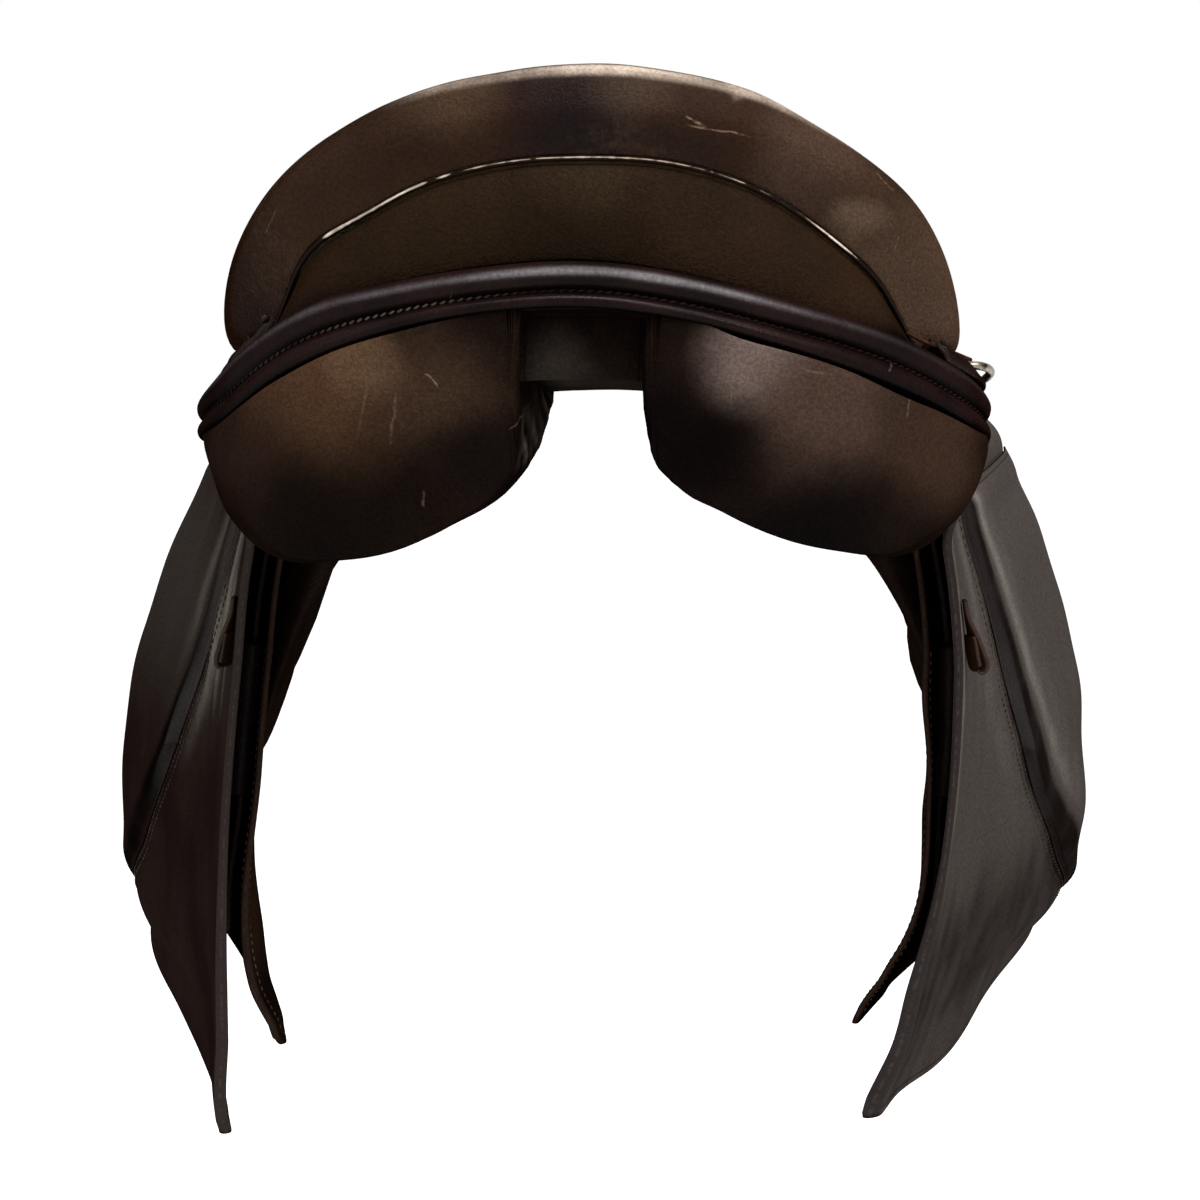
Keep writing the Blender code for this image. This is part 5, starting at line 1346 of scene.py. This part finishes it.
def sweat_flap(side, word):
    """The sweat flap, and two rows of stitches beside its rear edge, one on each face."""
    y, z = np.moveaxis(patch(SWEAT_TOP, [(-56, 40), *SWEAT_REAR], SWEAT_LOW, SWEAT_FRONT, *SWEAT_GRID), -1, 0)
    depth = sweat_depth(side, z, y)
    faces = [flank(side, y, z, depth - layer) for layer in (0, SWEAT)]
    sheet = shell(f"sweat_flap_sheet_{word}", *faces, SWEAT_LEATHER, 0.8)
    line = beside(even(SWEAT_REAR, 90), 4.0)
    at = sweat_depth(side, line[:, 1], line[:, 0])
    rows = [flank_row(side, line, at + 0.1), flank_row(side, line, at - SWEAT - 0.1)]
    return sheet, stitches(f"sweat_flap_stitching_{word}", rows, THREAD, 2.6, 4.4, 0.45)


def knee_roll(side, word):
    """A roll between sweat flap and flap: powers of sine waves across and down it."""
    y, z = np.moveaxis(patch(ROLL_TOP, ROLL_REAR, ROLL_LOW, ROLL_FRONT, *ROLL_GRID), -1, 0)
    u, v = shares(ROLL_GRID)
    swell = np.sin(math.pi * u) ** 0.6 * np.sin(math.pi * v) ** 0.35
    base = sweat_depth(side, z) + 0.6
    faces = [flank(side, y, z, depth) for depth in (base + 0.6 + (-6.6 - base) * swell, base)]
    return shell(f"knee_roll_cushion_{word}", *faces, SWEAT_LEATHER, 0.4)


def girth_web(side, word):
    """A web from over the rail down to the straps: the smooth surface through seven lines along y."""
    y = np.linspace(STRAP_Y[0] - 13, STRAP_Y[2] + 13, 40)
    rail = smooth_of(-y, [-158, -80, 0, 60, 112], [60, 67, 74, 81, 88])
    rail = rail + smooth_of(-y, [-158, -100, -60, 0, 112], [18, 15.0, 13.5, 13, 13]) + 2.0
    lines = [np.stack([rail + a, y, 0 * y + b], axis=1) for a, b in ((0, 101), (1, 93), (10, 80))]
    hanging = (40.0, 28.0, 15.0, STRAP_TOP + 1.4)
    lines += [flank(1.0, y, 0 * y + z, strap_depth(z) - STRAP / 2) for z in hanging]
    grid = through(np.stack(lines), 60)
    out = normals(grid)
    faces = [mirrored(grid + way * WEB / 2 * out, side) for way in (1, -1)]
    return shell(f"girth_web_strip_{word}", *faces, WEBBING, 0.3)


def strap(side, name, y0):
    """A girth strap down the flank: a band with a pointed end and a row of punched holes."""
    curve = np.sin(np.linspace(0, 1, 16)[1:] * math.pi / 2)
    z = np.concatenate([np.linspace(STRAP_TOP, STRAP_TIP + POINT, 200), STRAP_TIP + POINT * (1 - curve)])
    near = np.clip((z - STRAP_TIP) / POINT, 0, 1)
    half_width = STRAP_WIDTH / 2 * (0.35 + 0.65 * np.sqrt(1 - (1 - near) ** 2))
    across = half_width[:, None] * np.linspace(-1, 1, 27)[None]
    before, on, after = (flank(side, y0 + y + 0 * z, z, strap_depth(z)) for y in (-8, 0, 8))
    sink = (flank(side, y0 + 0 * z, z, strap_depth(z) - STRAP) - on)[:, None]
    holes = sum(np.exp(-((np.hypot(across, z[:, None] - h) / HOLE_RADIUS) ** 6)) for h in HOLES)
    dent = (0.42 * holes)[..., None]
    face = on[:, None] + across[..., None] * unit(after - before)[:, None]
    return shell(name, face + dent * sink, face + (1 - dent) * sink, STRAP_LEATHER, 0.5)


def strap_guard(side, word):
    """A flat sleeve round the three straps: rings down its outside, then up its inside."""
    ends = STRAP_Y[0] - STRAP_WIDTH / 2 - 2.6, STRAP_Y[2] + STRAP_WIDTH / 2 + 2.6
    level = np.linspace(GUARD_TOP, GUARD_LOW, 40)[:, None]
    back = strap_depth(level) - STRAP - 1.0
    loops = []
    for y, front_at, back_at in (
        (np.linspace(ends[0] - 2, ends[1] + 2, 40), GUARD_FACE, back - GUARD_BACK),
        (np.linspace(*ends, 40), GUARD_FACE - GUARD, back),
    ):
        front, behind = flank(side, y, level, front_at), flank(side, y[::-1], level, back_at)
        loops.append(np.concatenate([front, behind], axis=1))
    rings = np.concatenate([loops[0], loops[1][::-1]])
    return tube(f"strap_guard_sleeve_{word}", rings, STRAP_LEATHER, wrap=True)


for word, side in SIDES:
    flap = flap_sheet(side, word)
    knee = knee_pad(side, word)
    thread = flap_stitching(side, word)
    keeper = keeper_loop(side, word)
    skirt, skirt_thread = skirt_sheet(side, word)
    tail = skirt_tail(side, word)
    details = [*(gathered if side < 0 else split)(word)]
    cord = seam_cord(side, word)
    sweat, sweat_thread = sweat_flap(side, word)
    roll = knee_roll(side, word)
    web = girth_web(side, word)
    for k, y0 in enumerate(STRAP_Y):
        piece = strap(side, f"girth_strap_{k + 1}_leather_{word}", y0)
        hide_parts(f"girth_strap_{k + 1}_{word}")
        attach(piece, f"girth_strap_{k + 1}_{word}")
    guard = strap_guard(side, word)
    for piece, node in (
        (flap, "flap"), (knee, "knee_pad"), (keeper, "keeper"), (skirt, "skirt"), (tail, "skirt_tail"),
        (cord, "seam_cord"), (sweat, "sweat_flap"), (roll, "knee_roll"), (web, "girth_web"),
        (guard, "strap_guard"),
    ):
        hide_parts(f"{node}_{word}")
    for piece in (flap, knee, keeper, thread):
        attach(piece, f"flap_{word}")
    for piece in (skirt, skirt_thread):
        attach(piece, f"skirt_{word}")
    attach(guard, f"strap_guard_{word}")
    for piece in (*details, tail, cord, sweat, sweat_thread, roll, web):
        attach(piece, "saddle")

# Rear ring and its chape

along, off = np.array([0.84, 0.0, -0.54]), np.array([0.54, 0.0, 0.84])
ring_at = np.array([170.9, -115.0, 88.2]) + (-4.6, 0, -11.4)
skew, lift = math.radians(38), math.radians(46)
bar_way = np.array([0.0, math.cos(skew), 0.0]) + math.sin(skew) * along
flat_way = math.cos(skew) * along - np.array([0.0, math.sin(skew), 0.0])
hang_way = math.cos(lift) * flat_way + math.sin(lift) * off
turn = np.linspace(0.2, math.pi - 0.2, 40)
bow = np.stack([3 + 12.5 * np.sin(turn), -12.4 * np.cos(turn)], axis=1)
bow = np.concatenate([[(0, -12.0)], bow, [(0, 12.0), (0, 4.0), (0, -4.0)]])
ring_path = ring_at + through(bow, 160, closed=True) @ np.stack([hang_way, bar_way])
ring_rings = swept(ring_path, np.cross(hang_way, bar_way), circle(WIRE_RADIUS, 18), closed=True)
ring = tube("rear_ring_wire", ring_rings, OLD_NICKEL, wrap=True)
FOLD = [
    (-17, -1.2), (-9, -2.2), (-2, -3.2), (1.9, -2.7), (3.3, 0), (1.9, 2.7), (-2, 3.0), (-9, 1.2), (-17, 1.1),
]
fold_path = ring_at + even(FOLD, 80) @ np.stack([flat_way, off])
chape = tube("ring_chape_strap", rounded(swept(fold_path, bar_way, slab(13.0, 1.4)), 0.5), STRAP_LEATHER)
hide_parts("rear_ring_right")
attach(ring, "rear_ring")
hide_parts("ring_chape_right")
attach(chape, "saddle")

# Finishes of the carried-over pieces

FINISHES = {
    ("stirrup_bar", "bar_latch"): NICKEL, ("latch_pin", "spring", "gullet_plate", "head_plate"): STEEL,
    ("tree_head", "tree_rail"): TREE_COVER, ("tree_cantle",): WOOD, ("seat_web",): WEBBING,
}
for name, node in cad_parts.items():
    for starts, look in FINISHES.items():
        if name.startswith(starts):
            node.data.materials.clear()
            node.data.materials.append(look)

# Floor, lamps and the white surroundings


def white_share(tree):
    """1 for the rays that show the surroundings: the camera's, mirrored ones and ones through glass."""
    seen = add(tree, "LightPath").outputs
    bounced = maths(tree, "MAXIMUM", seen["Is Glossy Ray"], seen["Is Transmission Ray"])
    return maths(tree, "MAXIMUM", seen["Is Camera Ray"], bounced)


white = bpy.data.materials.new("floor_white")
white.use_nodes = True
tree = white.node_tree
feed(tree, tree.nodes["Principled BSDF"], {
    "Base Color": (0.9, 0.9, 0.9, 1.0), "Roughness": 0.9, "Emission Color": (1.0, 1.0, 1.0, 1.0),
    "Emission Strength": times(tree, white_share(tree), 0.75),
})
FLOOR_Z, HALF_FLOOR = -900.0, 9000.0
corners = [(x * HALF_FLOOR, y * HALF_FLOOR, FLOOR_Z) for x, y in ((-1, -1), (1, -1), (1, 1), (-1, 1))]
floor = put("floor", corners, [np.array([[0, 1, 2, 3]])], white)


def lamp(name, place, aim, size, power, tone=(1.0, 1.0, 1.0)):
    data = bpy.data.lights.new(name, "AREA")
    data.size = size
    data.energy = power
    data.color = tone
    made = bpy.data.objects.new(name, data)
    made.location = place
    made.rotation_euler = (Vector(aim) - Vector(place)).to_track_quat("-Z", "Y").to_euler()
    bpy.context.scene.collection.objects.link(made)


lamp("key", (1.5, -1.5, 1.7), (0.05, -0.1, 0.0), 0.8, 44.0, (1.0, 0.97, 0.93))
lamp("fill", (-1.9, -1.2, 0.9), (-0.05, -0.1, 0.0), 1.2, 9.0, (0.95, 0.97, 1.0))
lamp("top", (0.15, -1.1, 2.3), (0.0, -0.15, 0.1), 0.7, 40.0)
lamp("front", (-0.8, 2.4, 1.2), (0.0, 0.1, 0.0), 1.2, 24.0)

world = bpy.data.worlds.new("surroundings")
bpy.context.scene.world = world
world.use_nodes = True
tree = world.node_tree
brightness = ranged(tree, white_share(tree), 0.0, 1.0, 0.35, 1.0)
feed(tree, tree.nodes["Background"], {"Color": (1.0, 1.0, 1.0, 1.0), "Strength": brightness})

bpy.context.scene.view_settings.view_transform = "Standard"
